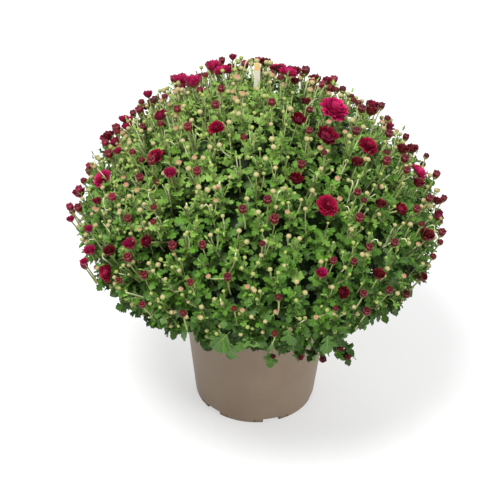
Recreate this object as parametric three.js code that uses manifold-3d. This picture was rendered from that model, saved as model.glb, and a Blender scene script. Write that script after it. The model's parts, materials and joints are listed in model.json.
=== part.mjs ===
// A pot chrysanthemum: a tapered nursery pot filled with soil, leafy stems that stand in holes in
// the soil and spread into a mound of lobed leaves, and flower heads on thin stalks.
// Millimetres, +Z up, the origin on the pot's axis at the floor, the front towards -Y.

import * as THREE from 'three';
import { mergeVertices } from 'three/addons/utils/BufferGeometryUtils.js';
import Module from 'manifold-3d';

const wasm = await Module();
wasm.setup();

// ---------------------------------------------------------------- driving dimensions

const CLEARANCE = 0.35;
const SIDES_ROUND = 36;

const POT = {
  height: 150,
  footRadius: 80.3,
  topRadius: 96,
  wall: 2,
  lipOut: 1.6,
  lipHeight: 7,
  footEdge: 3,
  footRing: 5,
  floorUnder: 8,
  floorThick: 2.5,
  notches: 6,
  notchAngle: 16.5,
  notchHeight: 7,
  firstNotch: 16.5,
  padAngle: 8.5,
  padHeight: 5.5,
  padRecess: 0.9,
  padLift: 0.8,
  drainRadius: 5,
  drainCircle: 62,
};
// How far the cutters of the pot's foot stand proud of what they cut.
const CUT_OVER = 10;
const CUT_UNDER = 1;
const NOTCH_DEPTH = 30;
const PAD_CUT_DEPTH = 6;
const DRAIN_SIDES = 6;

const SOIL = {
  top: 134,
  crown: 4,
  crownShare: 0.85,
  sideGap: 0.4,
  sides: 18,
  holeSides: 6,
};

// The mound's outline, flower heads included, as a rounded form of revolution about (0, 0, waist):
// radius^upperPower + height^upperPower = 1 above the waist, and the same with lowerPower below it.
const MOUND = {
  radius: 235,
  waist: 285,
  rise: 203,
  fall: 167,
  upperPower: 1.5,
  lowerPower: 1.63,
  skirtRadius: 100,
};

const LEAF_DEPTH_TOP = 24;
const LEAF_DEPTH_SIDE = 13;
const CORE_DEPTH = 54;

const STEM = {
  count: 22,
  radius: 3,
  sides: 4,
  innerCircle: 6,
  outerCircle: 50,
  firstAzimuth: 40,
  holeDepth: 26,
  collar: 8,
  sink: 17,
};

// The stems' fan point, the room round it where bare stems run, and the gap between two cores.
const FAN_POINT = new THREE.Vector3(0, 0, 238);
const STEM_ROOM_RADIUS = 60;
const STEM_ROOM_TOP = 300;
const STEM_ROOM_SIDES = 8;
const STEM_ROOM_FLOOR = 144;
const CORE_GAP = 2.4;
const CORE_FLOOR = 164;
const CORE_SIDES = 12;
const CORE_RINGS = 6;
const CORE_SWELL = 3;
const CELL_SPAN = 700;
const CELL_REACH = 1.75;
const ROOT_DRAW = 0.06;

const LEAF = {
  count: 208,
  lengthTop: 62,
  lengthSkirt: 66,
  spread: 0.16,
  thickness: 2.2,
  fold: 0.28,
  arch: 0.13,
  tipDrop: 0.06,
  sink: 10,
  skirtShare: 0.88,
  tries: 40,
};

const BUD = {
  count: 104,
  radius: 4.2,
  stalk: 1,
  sink: 9,
  depth: 8,
  crownOut: 12,
  neck: 1,
  shoulder: 0.3,
  tip: 1.2,
  tries: 20,
  triesClearOfLeaves: 14,
};

const LABEL = {
  x: -6,
  y: 45,
  width: 7.5,
  thickness: 1.2,
  top: 472,
  depth: 30,
  point: 14,
  corner: 2,
};

// ---------------------------------------------------------------- small helpers

const UP = new THREE.Vector3(0, 0, 1);
const GOLDEN_ANGLE = Math.PI * (3 - Math.sqrt(5));
const DEGREE = Math.PI / 180;

function seededRandom(seed) {
  let state = seed;
  return () => {
    state = (state + 0x6d2b79f5) | 0;
    let t = Math.imul(state ^ (state >>> 15), 1 | state);
    t = (t + Math.imul(t ^ (t >>> 7), 61 | t)) ^ t;
    return ((t ^ (t >>> 14)) >>> 0) / 4294967296;
  };
}

const random = seededRandom(20);

function between(low, high) {
  return low + (high - low) * random();
}

function mix(a, b, share) {
  return a + (b - a) * share;
}

function compass(azimuth, radius, height) {
  return new THREE.Vector3(radius * Math.sin(azimuth), -radius * Math.cos(azimuth), height);
}

function toSolid(geometry) {
  const bare = geometry.clone();
  bare.deleteAttribute('normal');
  bare.deleteAttribute('uv');
  const merged = mergeVertices(bare, 1e-3);
  return new wasm.Manifold(new wasm.Mesh({
    numProp: 3,
    vertProperties: new Float32Array(merged.attributes.position.array),
    triVerts: new Uint32Array(merged.index.array),
  }));
}

function toGeometry(solid) {
  const mesh = solid.getMesh();
  const geometry = new THREE.BufferGeometry();
  geometry.setAttribute('position', new THREE.BufferAttribute(mesh.vertProperties, 3));
  geometry.setIndex(new THREE.BufferAttribute(mesh.triVerts, 1));
  geometry.computeVertexNormals();
  return geometry;
}

// Joining can shut a small hollow or cut off a scrap: the one large body is what is kept.
function oneBody(solid) {
  const bodies = solid.decompose();
  return bodies.reduce((largest, body) => (body.volume() > largest.volume() ? body : largest));
}

function joined(solids) {
  return solids.reduce((sum, solid) => sum.add(solid));
}

// A lathe profile runs from the axis back to it, upwards, so that the faces point outwards.
function turned(profile, sides) {
  const points = profile.map(([radius, height]) => new THREE.Vector2(radius, height));
  const geometry = new THREE.LatheGeometry(points, sides);
  geometry.rotateX(Math.PI / 2);
  return geometry;
}

function turnedSolid(profile, sides) {
  return toSolid(turned(profile, sides));
}

function placedBox(width, depth, height, matrix) {
  const geometry = new THREE.BoxGeometry(width, depth, height);
  geometry.applyMatrix4(matrix);
  return toSolid(geometry);
}

function frameAt(origin, x, y, z) {
  return new THREE.Matrix4().makeBasis(x, y, z).setPosition(origin);
}

function acrossFrom(direction, hint = UP) {
  const side = new THREE.Vector3().crossVectors(hint, direction);
  if (side.lengthSq() < 1e-6) side.set(1, 0, 0);
  return side.normalize();
}

// A straight rod with a few flat sides, closed at both ends.
function stalkSolid(from, to, radius, sides) {
  const along = new THREE.Vector3().subVectors(to, from);
  const geometry = new THREE.CylinderGeometry(radius, radius, along.length(), sides);
  geometry.translate(0, along.length() / 2, 0);
  const direction = along.normalize();
  const side = acrossFrom(direction);
  geometry.applyMatrix4(frameAt(from, side, direction, new THREE.Vector3().crossVectors(side, direction)));
  return toSolid(geometry);
}

// ---------------------------------------------------------------- the mound's form

function moundPoint(turn, depth = 0) {
  const above = turn < Math.PI / 2;
  const power = above ? MOUND.upperPower : MOUND.lowerPower;
  const radius = MOUND.radius * Math.abs(Math.sin(turn)) ** (2 / power);
  const reach = above ? MOUND.rise : -MOUND.fall;
  const height = MOUND.waist + reach * Math.abs(Math.cos(turn)) ** (2 / power);
  const length = Math.hypot(radius, height - MOUND.waist);
  const scale = (length - depth) / length;
  return [radius * scale, MOUND.waist + (height - MOUND.waist) * scale];
}

// The outline from the crown (share 0) to the skirt over the pot's lip (share 1), by equal areas.
function areaTable(steps) {
  const table = [{ turn: 0, area: 0 }];
  let last = moundPoint(0);
  for (let i = 1; i <= steps; i += 1) {
    const turn = (Math.PI * i) / steps;
    const point = moundPoint(turn);
    const ring = (point[0] + last[0]) * Math.hypot(point[0] - last[0], point[1] - last[1]);
    table.push({ turn, area: table[i - 1].area + ring });
    last = point;
    if (turn > Math.PI / 2 && point[0] < MOUND.skirtRadius) break;
  }
  return table;
}

const AREAS = areaTable(240);

function turnAtShare(share) {
  const wanted = share * AREAS[AREAS.length - 1].area;
  const index = AREAS.findIndex((row) => row.area >= wanted);
  if (index <= 0) return AREAS[1].turn * 0.2;
  const before = AREAS[index - 1];
  const after = AREAS[index];
  return mix(before.turn, after.turn, (wanted - before.area) / (after.area - before.area));
}

// A place on the mound, sunk to a depth, with its outward normal and its azimuth.
function moundPlace(turn, azimuth, depth) {
  const [radius, height] = moundPoint(turn, depth);
  const [radiusBefore, heightBefore] = moundPoint(turn - 0.01, depth);
  const [radiusAfter, heightAfter] = moundPoint(turn + 0.01, depth);
  const slopeRadius = radiusAfter - radiusBefore;
  const slopeHeight = heightAfter - heightBefore;
  const length = Math.hypot(slopeRadius, slopeHeight);
  const outward = compass(azimuth, -slopeHeight / length, slopeRadius / length);
  return { point: compass(azimuth, radius, height), outward, azimuth, turn };
}

function leafDepthAt(turn) {
  return mix(LEAF_DEPTH_TOP, LEAF_DEPTH_SIDE, Math.min(1, turn / (Math.PI / 2)));
}

// ---------------------------------------------------------------- pot

function makePot() {
  const { height, footRadius, topRadius, wall, lipOut, lipHeight, footEdge, footRing } = POT;
  const radiusAt = (z) => mix(footRadius, topRadius, z / height);
  const floorTop = POT.floorUnder + POT.floorThick;
  const shell = turnedSolid([
    [0, POT.floorUnder],
    [footRadius - footEdge - footRing, POT.floorUnder],
    [footRadius - footEdge - footRing, 0],
    [footRadius - footEdge, 0],
    [radiusAt(footEdge), footEdge],
    [radiusAt(height - lipHeight), height - lipHeight],
    [radiusAt(height - lipHeight) + lipOut, height - lipHeight + 1],
    [radiusAt(height) + lipOut, height - 1],
    [radiusAt(height), height],
    [radiusAt(height) - wall, height],
    [radiusAt(floorTop) - wall, floorTop],
    [0, floorTop],
  ], SIDES_ROUND);
  const cuts = [];
  for (let i = 0; i < POT.notches; i += 1) {
    const middle = (POT.firstNotch + (i * 360) / POT.notches) * DEGREE;
    cuts.push(potWedge(middle, POT.notchAngle, NOTCH_DEPTH, POT.notchHeight, footRadius + CUT_OVER));
    const drain = new THREE.CylinderGeometry(POT.drainRadius, POT.drainRadius, 2 * CUT_OVER, DRAIN_SIDES);
    drain.rotateX(Math.PI / 2);
    const at = compass(middle, POT.drainCircle, POT.floorUnder);
    drain.translate(at.x, at.y, at.z);
    cuts.push(toSolid(drain));
    for (const side of [-1, 1]) {
      const offset = (side * (POT.notchAngle + POT.padAngle) * DEGREE) / 2;
      const padFace = radiusAt(POT.padHeight / 2) - POT.padRecess;
      cuts.push(potWedge(middle + offset, POT.padAngle, PAD_CUT_DEPTH, POT.padHeight,
        padFace + PAD_CUT_DEPTH));
    }
    const rest = middle + (180 / POT.notches) * DEGREE;
    const restAngle = 360 / POT.notches - POT.notchAngle - 2 * POT.padAngle;
    cuts.push(potWedge(rest, restAngle, NOTCH_DEPTH, POT.padLift, footRadius + CUT_OVER));
  }
  return oneBody(cuts.reduce((pot, cut) => pot.subtract(cut), shell));
}

// A wedge of the pot's foot up to a height, from outerRadius inwards by depth.
function potWedge(middle, angle, depth, top, outerRadius) {
  const half = (angle * DEGREE) / 2;
  const shape = new THREE.Shape();
  shape.absarc(0, 0, outerRadius, -half, half, false);
  shape.absarc(0, 0, outerRadius - depth, half, -half, true);
  const geometry = new THREE.ExtrudeGeometry(shape, {
    depth: top + CUT_UNDER,
    bevelEnabled: false,
    curveSegments: 2,
  });
  geometry.rotateZ(middle - Math.PI / 2);
  geometry.translate(0, 0, -CUT_UNDER);
  return toSolid(geometry);
}

// ---------------------------------------------------------------- stems and their cores

function stemPlan() {
  const stems = [];
  for (let i = 0; i < STEM.count; i += 1) {
    const share = (i + 0.5) / STEM.count;
    const azimuth = STEM.firstAzimuth * DEGREE + i * GOLDEN_ANGLE;
    const place = moundPlace(turnAtShare(share), azimuth, CORE_DEPTH);
    const direction = place.point.clone().sub(FAN_POINT).normalize();
    const foot = compass(azimuth, mix(STEM.innerCircle, STEM.outerCircle, Math.sqrt(share)), 0);
    stems.push({ azimuth, direction, foot, target: place.point, pieces: [] });
  }
  return stems;
}

// The stem that carries a root, and the root drawn a little towards the middle of its core.
function rootedAt(stems, point) {
  const direction = point.clone().sub(FAN_POINT).normalize();
  let owner = 0;
  stems.forEach((stem, index) => {
    if (stem.direction.dot(direction) > stems[owner].direction.dot(direction)) owner = index;
  });
  return { owner, root: point.clone().lerp(stems[owner].target, ROOT_DRAW) };
}

// The cores' common form. Its flat sides stand outside the round form that the roots are set by.
function coreBlank() {
  const grow = 1 / Math.cos(Math.PI / CORE_SIDES);
  const end = AREAS[AREAS.length - 1].turn;
  const profile = [[0, CORE_FLOOR]];
  for (let i = CORE_RINGS; i > 0; i -= 1) {
    const [radius, height] = moundPoint((end * i) / CORE_RINGS, CORE_DEPTH - CORE_SWELL);
    profile.push([radius * grow, Math.max(height, CORE_FLOOR + CORE_GAP)]);
  }
  profile.push([0, moundPoint(0, CORE_DEPTH)[1]]);
  return turnedSolid(profile, CORE_SIDES);
}

function stemRoom() {
  const radius = STEM_ROOM_RADIUS / Math.cos(Math.PI / STEM_ROOM_SIDES);
  return turnedSolid([
    [0, STEM_ROOM_FLOOR],
    [radius, STEM_ROOM_FLOOR],
    [radius, STEM_ROOM_TOP],
    [0, STEM_ROOM_TOP],
  ], STEM_ROOM_SIDES);
}

// The part of the blank that is nearer to this stem than to any other, less half the gap.
function coreCell(blank, stems, index) {
  const mine = stems[index].direction;
  let cell = blank;
  stems.forEach((other, otherIndex) => {
    if (otherIndex === index || mine.angleTo(other.direction) > CELL_REACH) return;
    const away = mine.clone().sub(other.direction).normalize();
    const side = acrossFrom(away);
    const centre = FAN_POINT.clone().addScaledVector(away, (CORE_GAP + CELL_SPAN) / 2);
    const matrix = frameAt(centre, away, side, new THREE.Vector3().crossVectors(away, side));
    cell = cell.intersect(placedBox(CELL_SPAN, CELL_SPAN * 2, CELL_SPAN * 2, matrix));
  });
  return oneBody(cell);
}

// The stem rises upright out of its hole, leans outwards through the stem room in its own upright
// plane, and runs into its core along the line from the fan point.
function stemSolid(stem) {
  const bottom = stem.foot.clone().setZ(SOIL.top - STEM.holeDepth + CLEARANCE);
  const collar = stem.foot.clone().setZ(SOIL.top + STEM.collar);
  const level = Math.hypot(stem.direction.x, stem.direction.y);
  const upwards = Math.max(stem.direction.z, 0.01);
  const wall = Math.min(STEM_ROOM_RADIUS / level, (STEM_ROOM_TOP - FAN_POINT.z) / upwards);
  const before = FAN_POINT.clone().addScaledVector(stem.direction, wall - STEM.sink);
  const end = FAN_POINT.clone().addScaledVector(stem.direction, wall + STEM.sink);
  const across = compass(stem.azimuth + Math.PI / 2, 1, 0);
  return loftSolid([bottom, collar, before, end], STEM.radius, STEM.sides, across);
}

// A bent rod through a few points that lie in one upright plane square to across.
function loftSolid(points, radius, sides, across) {
  const vertices = [];
  const index = [];
  points.forEach((point, row) => {
    const before = points[Math.max(row - 1, 0)];
    const after = points[Math.min(row + 1, points.length - 1)];
    const along = new THREE.Vector3().subVectors(after, before).normalize();
    const over = row === 0 ? new THREE.Vector3().crossVectors(UP, across) : along.clone().cross(across);
    for (let i = 0; i < sides; i += 1) {
      const turn = (i * 2 * Math.PI) / sides;
      vertices.push(point.clone().addScaledVector(across, radius * Math.cos(turn))
        .addScaledVector(over, radius * Math.sin(turn)));
    }
  });
  const last = (points.length - 1) * sides;
  for (let i = 0; i < sides; i += 1) {
    const next = (i + 1) % sides;
    for (let row = 0; row < points.length - 1; row += 1) {
      const low = row * sides;
      index.push(low + i, low + next, low + sides + next, low + i, low + sides + next, low + sides + i);
    }
    if (i > 0 && i < sides - 1) index.push(0, next, i, last, last + i, last + next);
  }
  const geometry = new THREE.BufferGeometry().setFromPoints(vertices);
  geometry.setIndex(index);
  return toSolid(geometry);
}

// ---------------------------------------------------------------- leaves and buds

// Half of the leaf's lobed outline from its stalk to its tip: along and across, in leaf lengths.
const LEAF_HALF_OUTLINE = [
  [0.32, 0.35],
  [0.48, 0.17],
  [0.67, 0.38],
  [0.77, 0.16],
];

// A blade is a fan of triangles round a raised middle on each face, meeting in a thin edge.
function bladeSolid(outline, middle, thickness, matrix) {
  const rim = outline.map((point) => new THREE.Vector3(...point));
  const top = new THREE.Vector3(...middle).add(new THREE.Vector3(0, 0, thickness / 2));
  const bottom = new THREE.Vector3(...middle).sub(new THREE.Vector3(0, 0, thickness / 2));
  const points = [...rim, top, bottom];
  const topIndex = rim.length;
  const bottomIndex = rim.length + 1;
  const index = [];
  rim.forEach((_, i) => {
    const next = (i + 1) % rim.length;
    index.push(i, next, topIndex, next, i, bottomIndex);
  });
  const geometry = new THREE.BufferGeometry().setFromPoints(points);
  geometry.setIndex(index);
  geometry.applyMatrix4(matrix);
  return toSolid(geometry);
}

function leafOutline(length, width) {
  const lift = (x, y) => LEAF.arch * length * Math.sin(Math.PI * x * 0.8) - LEAF.fold * Math.abs(y);
  const right = LEAF_HALF_OUTLINE.map(([x, y]) => [x * length, -y * width, lift(x, y * width)]);
  const left = right.map(([x, y, z]) => [x, -y, z]).reverse();
  return [[0, 0, 0], ...right, [length, 0, lift(1, 0) - length * LEAF.tipDrop], ...left];
}

function leafSolid(root, axis, face, length, grown = 0) {
  const side = new THREE.Vector3().crossVectors(face, axis).normalize();
  const width = length + 2 * grown;
  const long = length + grown;
  const middle = [long * 0.5, 0, LEAF.arch * long * 0.95];
  const matrix = frameAt(root, axis, side, face);
  return bladeSolid(leafOutline(long, width), middle, LEAF.thickness + 2 * grown, matrix);
}

// A closed bud and its stalk, in one turned piece whose root runs to a point inside the core.
function budSolid(from, to, radius, grown = 0) {
  const along = new THREE.Vector3().subVectors(to, from);
  const length = along.length();
  const stem = BUD.stalk + grown;
  const wide = radius + grown;
  const bud = turned([
    [0, 0],
    [stem, length - wide * BUD.neck],
    [wide, length + wide * BUD.shoulder],
    [0, length + wide * BUD.tip],
  ], 4);
  along.normalize();
  const side = acrossFrom(along);
  bud.applyMatrix4(frameAt(from, side, new THREE.Vector3().crossVectors(along, side), along));
  return toSolid(bud);
}

// ---------------------------------------------------------------- blooms

// Places of the larger flower heads at the front: azimuth and elevation seen from the mound's
// middle, diameter, how far the petals have opened (1 is flat open), and the colour.
const FRONT_BLOOMS = [
  { azimuth: 81, elevation: 66, size: 34, open: 1, colour: 'magenta' },
  { azimuth: 49, elevation: 62, size: 26, open: 0.5, colour: 'crimson' },
  { azimuth: 29, elevation: 42, size: 25, open: 0.8, colour: 'magenta' },
  { azimuth: 72, elevation: 51, size: 25, open: 0.7, colour: 'magenta' },
  { azimuth: 36, elevation: 71, size: 19, open: 0.3, colour: 'crimson' },
  { azimuth: 130, elevation: 80, size: 21, open: 0.8, colour: 'magenta' },
  { azimuth: -141, elevation: 70, size: 23, open: 0.8, colour: 'magenta' },
  { azimuth: -120, elevation: 58, size: 18, open: 0.3, colour: 'crimson' },
  { azimuth: -37, elevation: 67, size: 19, open: 0.6, colour: 'magenta' },
  { azimuth: -88, elevation: 56, size: 20, open: 0.3, colour: 'crimson' },
  { azimuth: -98, elevation: 34, size: 20, open: 0.3, colour: 'crimson' },
  { azimuth: -60, elevation: 49, size: 20, open: 0.6, colour: 'magenta' },
  { azimuth: -82, elevation: 28, size: 25, open: 0.8, colour: 'magenta' },
  { azimuth: -53, elevation: 10, size: 22, open: 0.7, colour: 'magenta' },
  { azimuth: 108, elevation: 40, size: 20, open: 0.3, colour: 'crimson' },
  { azimuth: 90, elevation: 28, size: 22, open: 0.7, colour: 'magenta' },
  { azimuth: 60, elevation: 30, size: 19, open: 0.3, colour: 'crimson' },
  { azimuth: 86, elevation: 12, size: 19, open: 0.3, colour: 'crimson' },
  { azimuth: 18, elevation: 52, size: 18, open: 0.3, colour: 'crimson' },
  { azimuth: 26, elevation: 16, size: 17, open: 0.3, colour: 'crimson' },
  { azimuth: -40, elevation: 26, size: 17, open: 0.3, colour: 'crimson' },
  { azimuth: 30, elevation: -12, size: 17, open: 0.3, colour: 'crimson' },
];
const BACK_BLOOMS = 10;
const BACK_FROM = 128;
const BACK_TO = 226;
const BACK_ELEVATIONS = [18, 50, 30, 8, 58];
// The height in the mound that elevations are seen from.
const SIGHT_HEIGHT = 240;
const BLOOM_STALK = 1.1;
const CALYX_SHARE = 0.3;
const CALYX_NECK = 0.22;
// A large head has three rings of petals and a small one two. Each row of a head is its radius and
// its height when open, what closing takes off and adds to them, and which petals are drawn in.
const LARGE_HEAD = {
  from: 22,
  petals: 8,
  rows: [[0.3, 0, 0, 0, 0], [1, 0.3, 0, 0.6, 1], [0.5, 0.42, 0, 0, 0], [0.74, 0.62, 0, 0.4, -1]],
};
const SMALL_HEAD = {
  petals: 5,
  rows: [[0.3, 0, 0, 0, 0], [1, 0.35, 0.25, 0.5, 1], [0.5, 0.75, 0, 0.25, -1]],
};
const HEAD_CROWN = 0.12;
const PETAL_DRAW = 0.62;
const PETAL_SAG = 0.14;

function bloomPlan() {
  const plan = FRONT_BLOOMS.map((bloom) => ({ ...bloom }));
  for (let i = 0; i < BACK_BLOOMS; i += 1) {
    const open = i % 2 ? 0.3 : 0.8;
    plan.push({
      azimuth: mix(BACK_FROM, BACK_TO, (i + between(0.3, 0.7)) / BACK_BLOOMS),
      elevation: BACK_ELEVATIONS[i % BACK_ELEVATIONS.length] + between(-4, 4),
      size: between(17, 24),
      open,
      colour: open > 0.5 ? 'magenta' : 'crimson',
    });
  }
  return plan;
}

// The turn of the mound's outline that is seen from the middle at an elevation.
function turnAtElevation(elevation) {
  let low = 0.02;
  let high = AREAS[AREAS.length - 1].turn;
  for (let i = 0; i < 40; i += 1) {
    const turn = (low + high) / 2;
    const [radius, height] = moundPoint(turn);
    if (Math.atan2(height - SIGHT_HEIGHT, radius) > elevation * DEGREE) low = turn;
    else high = turn;
  }
  return (low + high) / 2;
}

// A flower head is turned from a stepped profile, and each step is then cut into petals: every
// second point round it is drawn in, by turns on one layer and the next, so that the petals of a
// layer stand between those of the layer below.
function bloomSolid(bloom, matrix) {
  const radius = bloom.size / 2;
  const closed = 1 - bloom.open;
  const { petals, rows } = bloom.size > LARGE_HEAD.from ? LARGE_HEAD : SMALL_HEAD;
  const rings = rows.map(([out, up, narrower, taller]) => [
    (out - narrower * closed) * radius,
    (up + taller * closed) * radius,
  ]);
  const crown = rings[rings.length - 1][1] + HEAD_CROWN * radius;
  const profile = [[0, 0], ...rings, [0, crown]];
  const head = turned(profile, petals * 2);
  const position = head.attributes.position;
  for (let i = 0; i < position.count; i += 1) {
    const row = rows[(i % profile.length) - 1];
    const column = Math.floor(i / profile.length) % 2 ? 1 : -1;
    if (row && row[4] * column < 0) {
      position.setXYZ(
        i,
        position.getX(i) * PETAL_DRAW,
        position.getY(i) * PETAL_DRAW,
        position.getZ(i) - radius * PETAL_SAG,
      );
    }
  }
  head.applyMatrix4(matrix);
  return toSolid(head);
}

// A bloom's stalk widens into the green calyx that the flower head sits on, and its root runs to a
// point inside the core. The flat top lies square to the flower's axis.
function bloomStand(root, top, direction, size) {
  const rim = (size / 2) * CALYX_SHARE;
  const neck = top.clone().addScaledVector(direction, -size * CALYX_NECK);
  const side = acrossFrom(direction);
  const over = new THREE.Vector3().crossVectors(direction, side);
  const ring = (centre, radius) => [0, 1, 2, 3].map((i) => centre.clone()
    .addScaledVector(side, radius * Math.cos((i * Math.PI) / 2))
    .addScaledVector(over, radius * Math.sin((i * Math.PI) / 2)));
  const points = [root, ...ring(neck, BLOOM_STALK), ...ring(top, rim)];
  const index = [];
  for (let i = 0; i < 4; i += 1) {
    const next = (i + 1) % 4;
    index.push(0, 1 + next, 1 + i, 1 + i, 1 + next, 5 + next, 1 + i, 5 + next, 5 + i);
  }
  index.push(5, 6, 7, 5, 7, 8);
  const geometry = new THREE.BufferGeometry().setFromPoints(points);
  geometry.setIndex(index);
  return toSolid(geometry);
}

// ---------------------------------------------------------------- building the plant

class Obstacles {
  constructor() {
    this.items = [];
  }

  add(owner, solid) {
    this.items.push({ owner, solid, box: solid.boundingBox() });
  }

  // Whether a solid meets anything that belongs to another piece, or to any piece at all.
  meets(solid, owner) {
    const box = solid.boundingBox();
    return this.items.some((item) => {
      if (item.owner === owner) return false;
      const apart = [0, 1, 2].some((k) => box.min[k] > item.box.max[k] || box.max[k] < item.box.min[k]);
      return !apart && !solid.intersect(item.solid).isEmpty();
    });
  }
}

function labelSolid(grown = 0) {
  const half = LABEL.width / 2 + grown;
  const bottom = SOIL.top - LABEL.depth + CLEARANCE - grown;
  const shape = new THREE.Shape();
  shape.moveTo(0, bottom);
  shape.lineTo(half, bottom + LABEL.point);
  shape.lineTo(half, LABEL.top - LABEL.corner);
  shape.lineTo(half - LABEL.corner, LABEL.top + grown);
  shape.lineTo(-half + LABEL.corner, LABEL.top + grown);
  shape.lineTo(-half, LABEL.top - LABEL.corner);
  shape.lineTo(-half, bottom + LABEL.point);
  shape.closePath();
  const depth = LABEL.thickness + 2 * grown;
  const geometry = new THREE.ExtrudeGeometry(shape, { depth, bevelEnabled: false });
  geometry.rotateX(Math.PI / 2);
  geometry.translate(LABEL.x, LABEL.y + depth / 2, 0);
  return toSolid(geometry);
}

function makeSoil(stems) {
  const radiusAt = (z) => mix(POT.footRadius, POT.topRadius, z / POT.height) - POT.wall - SOIL.sideGap;
  const floorTop = POT.floorUnder + POT.floorThick + CLEARANCE;
  const body = turnedSolid([
    [0, floorTop],
    [radiusAt(floorTop), floorTop],
    [radiusAt(SOIL.top - SOIL.crown), SOIL.top - SOIL.crown],
    [radiusAt(SOIL.top) * SOIL.crownShare, SOIL.top],
    [0, SOIL.top],
  ], SOIL.sides);
  const holes = stems.map((stem) => {
    const bottom = stem.foot.clone().setZ(SOIL.top - STEM.holeDepth);
    const top = stem.foot.clone().setZ(SOIL.top + CUT_OVER);
    const radius = (STEM.radius + CLEARANCE) / Math.cos(Math.PI / SOIL.holeSides);
    return stalkSolid(bottom, top, radius, SOIL.holeSides);
  });
  return [...holes, labelSolid(CLEARANCE)].reduce((soil, hole) => soil.subtract(hole), body);
}

function placeStems(stems, obstacles) {
  const blank = coreBlank().subtract(stemRoom()).subtract(labelSolid(CORE_GAP / 3));
  stems.forEach((stem, index) => {
    stem.pieces.push(coreCell(blank, stems, index), stemSolid(stem));
    stem.pieces.forEach((piece) => obstacles.add(index, piece));
  });
}

// Blooms come before the leaves, each with its stalk and calyx, so that the leaves grow round them.
function placeBlooms(stems, obstacles) {
  return bloomPlan().map((bloom, index) => {
    const azimuth = bloom.azimuth * DEGREE;
    const turn = turnAtElevation(bloom.elevation);
    const headHeight = bloom.size * (0.25 + 0.3 * (1 - bloom.open));
    const outer = moundPlace(turn, azimuth, headHeight + 3);
    const inner = moundPlace(turn, azimuth, CORE_DEPTH + BUD.sink);
    const { owner, root } = rootedAt(stems, inner.point);
    const direction = outer.outward.clone().lerp(UP, 0.25).normalize();
    const side = acrossFrom(direction);
    const matrix = frameAt(outer.point, side, new THREE.Vector3().crossVectors(direction, side), direction);
    const solid = bloomSolid(bloom, matrix);
    const calyxTop = outer.point.clone().addScaledVector(direction, -CLEARANCE);
    const stand = bloomStand(root, calyxTop, direction, bloom.size);
    stems[owner].pieces.push(stand);
    obstacles.add(owner, stand);
    obstacles.add(`bloom ${index}`, solid);
    return { colour: bloom.colour, solid };
  });
}

// Four buds at the waist reach the plant's full width, along both axes, and one at the crown
// its full height.
function placeReachBuds(stems, obstacles) {
  const inwards = CORE_DEPTH + BUD.sink;
  const pointOver = BUD.radius * BUD.tip;
  const lines = [0, 1, 2, 3].map((quarter) => {
    const azimuth = (quarter * Math.PI) / 2;
    const tipRadius = MOUND.radius - pointOver;
    return [compass(azimuth, tipRadius, MOUND.waist), compass(azimuth, tipRadius - inwards, MOUND.waist)];
  });
  const crown = MOUND.waist + MOUND.rise - pointOver;
  lines.push([compass(0, BUD.crownOut, crown), compass(0, BUD.crownOut, crown - inwards)]);
  lines.forEach(([tip, below]) => {
    const { owner, root } = rootedAt(stems, below);
    const bud = budSolid(root, tip, BUD.radius);
    stems[owner].pieces.push(bud);
    obstacles.add(owner, bud);
  });
}

// One draw for a leaf: it leans out of the mound and to one side, and over the skirt it hangs.
function leafDraw(base, share, turn, attempt) {
  const down = new THREE.Vector3().crossVectors(base.outward, acrossFrom(base.outward)).negate();
  const across = new THREE.Vector3().crossVectors(base.outward, down);
  const swing = between(-1, 1) * Math.min(2.6, 1.2 + attempt * 0.1);
  const along = down.clone().multiplyScalar(Math.cos(swing)).addScaledVector(across, Math.sin(swing));
  if (share > LEAF.skirtShare) along.lerp(UP, -0.55 * between(0.5, 1));
  const climb = between(0.55, 0.95) + attempt * 0.01;
  const axis = base.outward.clone().multiplyScalar(climb).add(along).normalize();
  const face = base.outward.clone().addScaledVector(axis, -base.outward.dot(axis)).normalize();
  const reach = CORE_DEPTH + LEAF.sink - leafDepthAt(turn) * between(0.7, 1.2);
  const grown = mix(LEAF.lengthTop, LEAF.lengthSkirt, share) + LEAF.sink;
  const wanted = grown * between(1 - LEAF.spread, 1 + LEAF.spread) * (1 - attempt * 0.008);
  return { axis, face, length: Math.min(wanted, (reach / axis.dot(base.outward)) * 1.1) };
}

// Leaves stand out of the cores like shingles, each tried again at another turn while it meets
// another piece or another leaf.
function placeLeaves(stems, obstacles, leaves) {
  for (let i = 0; i < LEAF.count; i += 1) {
    const share = (i + 0.5) / LEAF.count;
    const turn = turnAtShare(share);
    const base = moundPlace(turn, i * GOLDEN_ANGLE, CORE_DEPTH + LEAF.sink);
    const { owner, root } = rootedAt(stems, base.point);
    for (let attempt = 0; attempt < LEAF.tries; attempt += 1) {
      const { axis, face, length } = leafDraw(base, share, turn, attempt);
      const grown = leafSolid(root, axis, face, length, CLEARANCE);
      if (obstacles.meets(grown, owner) || leaves.meets(grown)) continue;
      const leaf = leafSolid(root, axis, face, length);
      stems[owner].pieces.push(leaf);
      obstacles.add(owner, leaf);
      leaves.add(owner, leaf);
      break;
    }
  }
}

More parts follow.
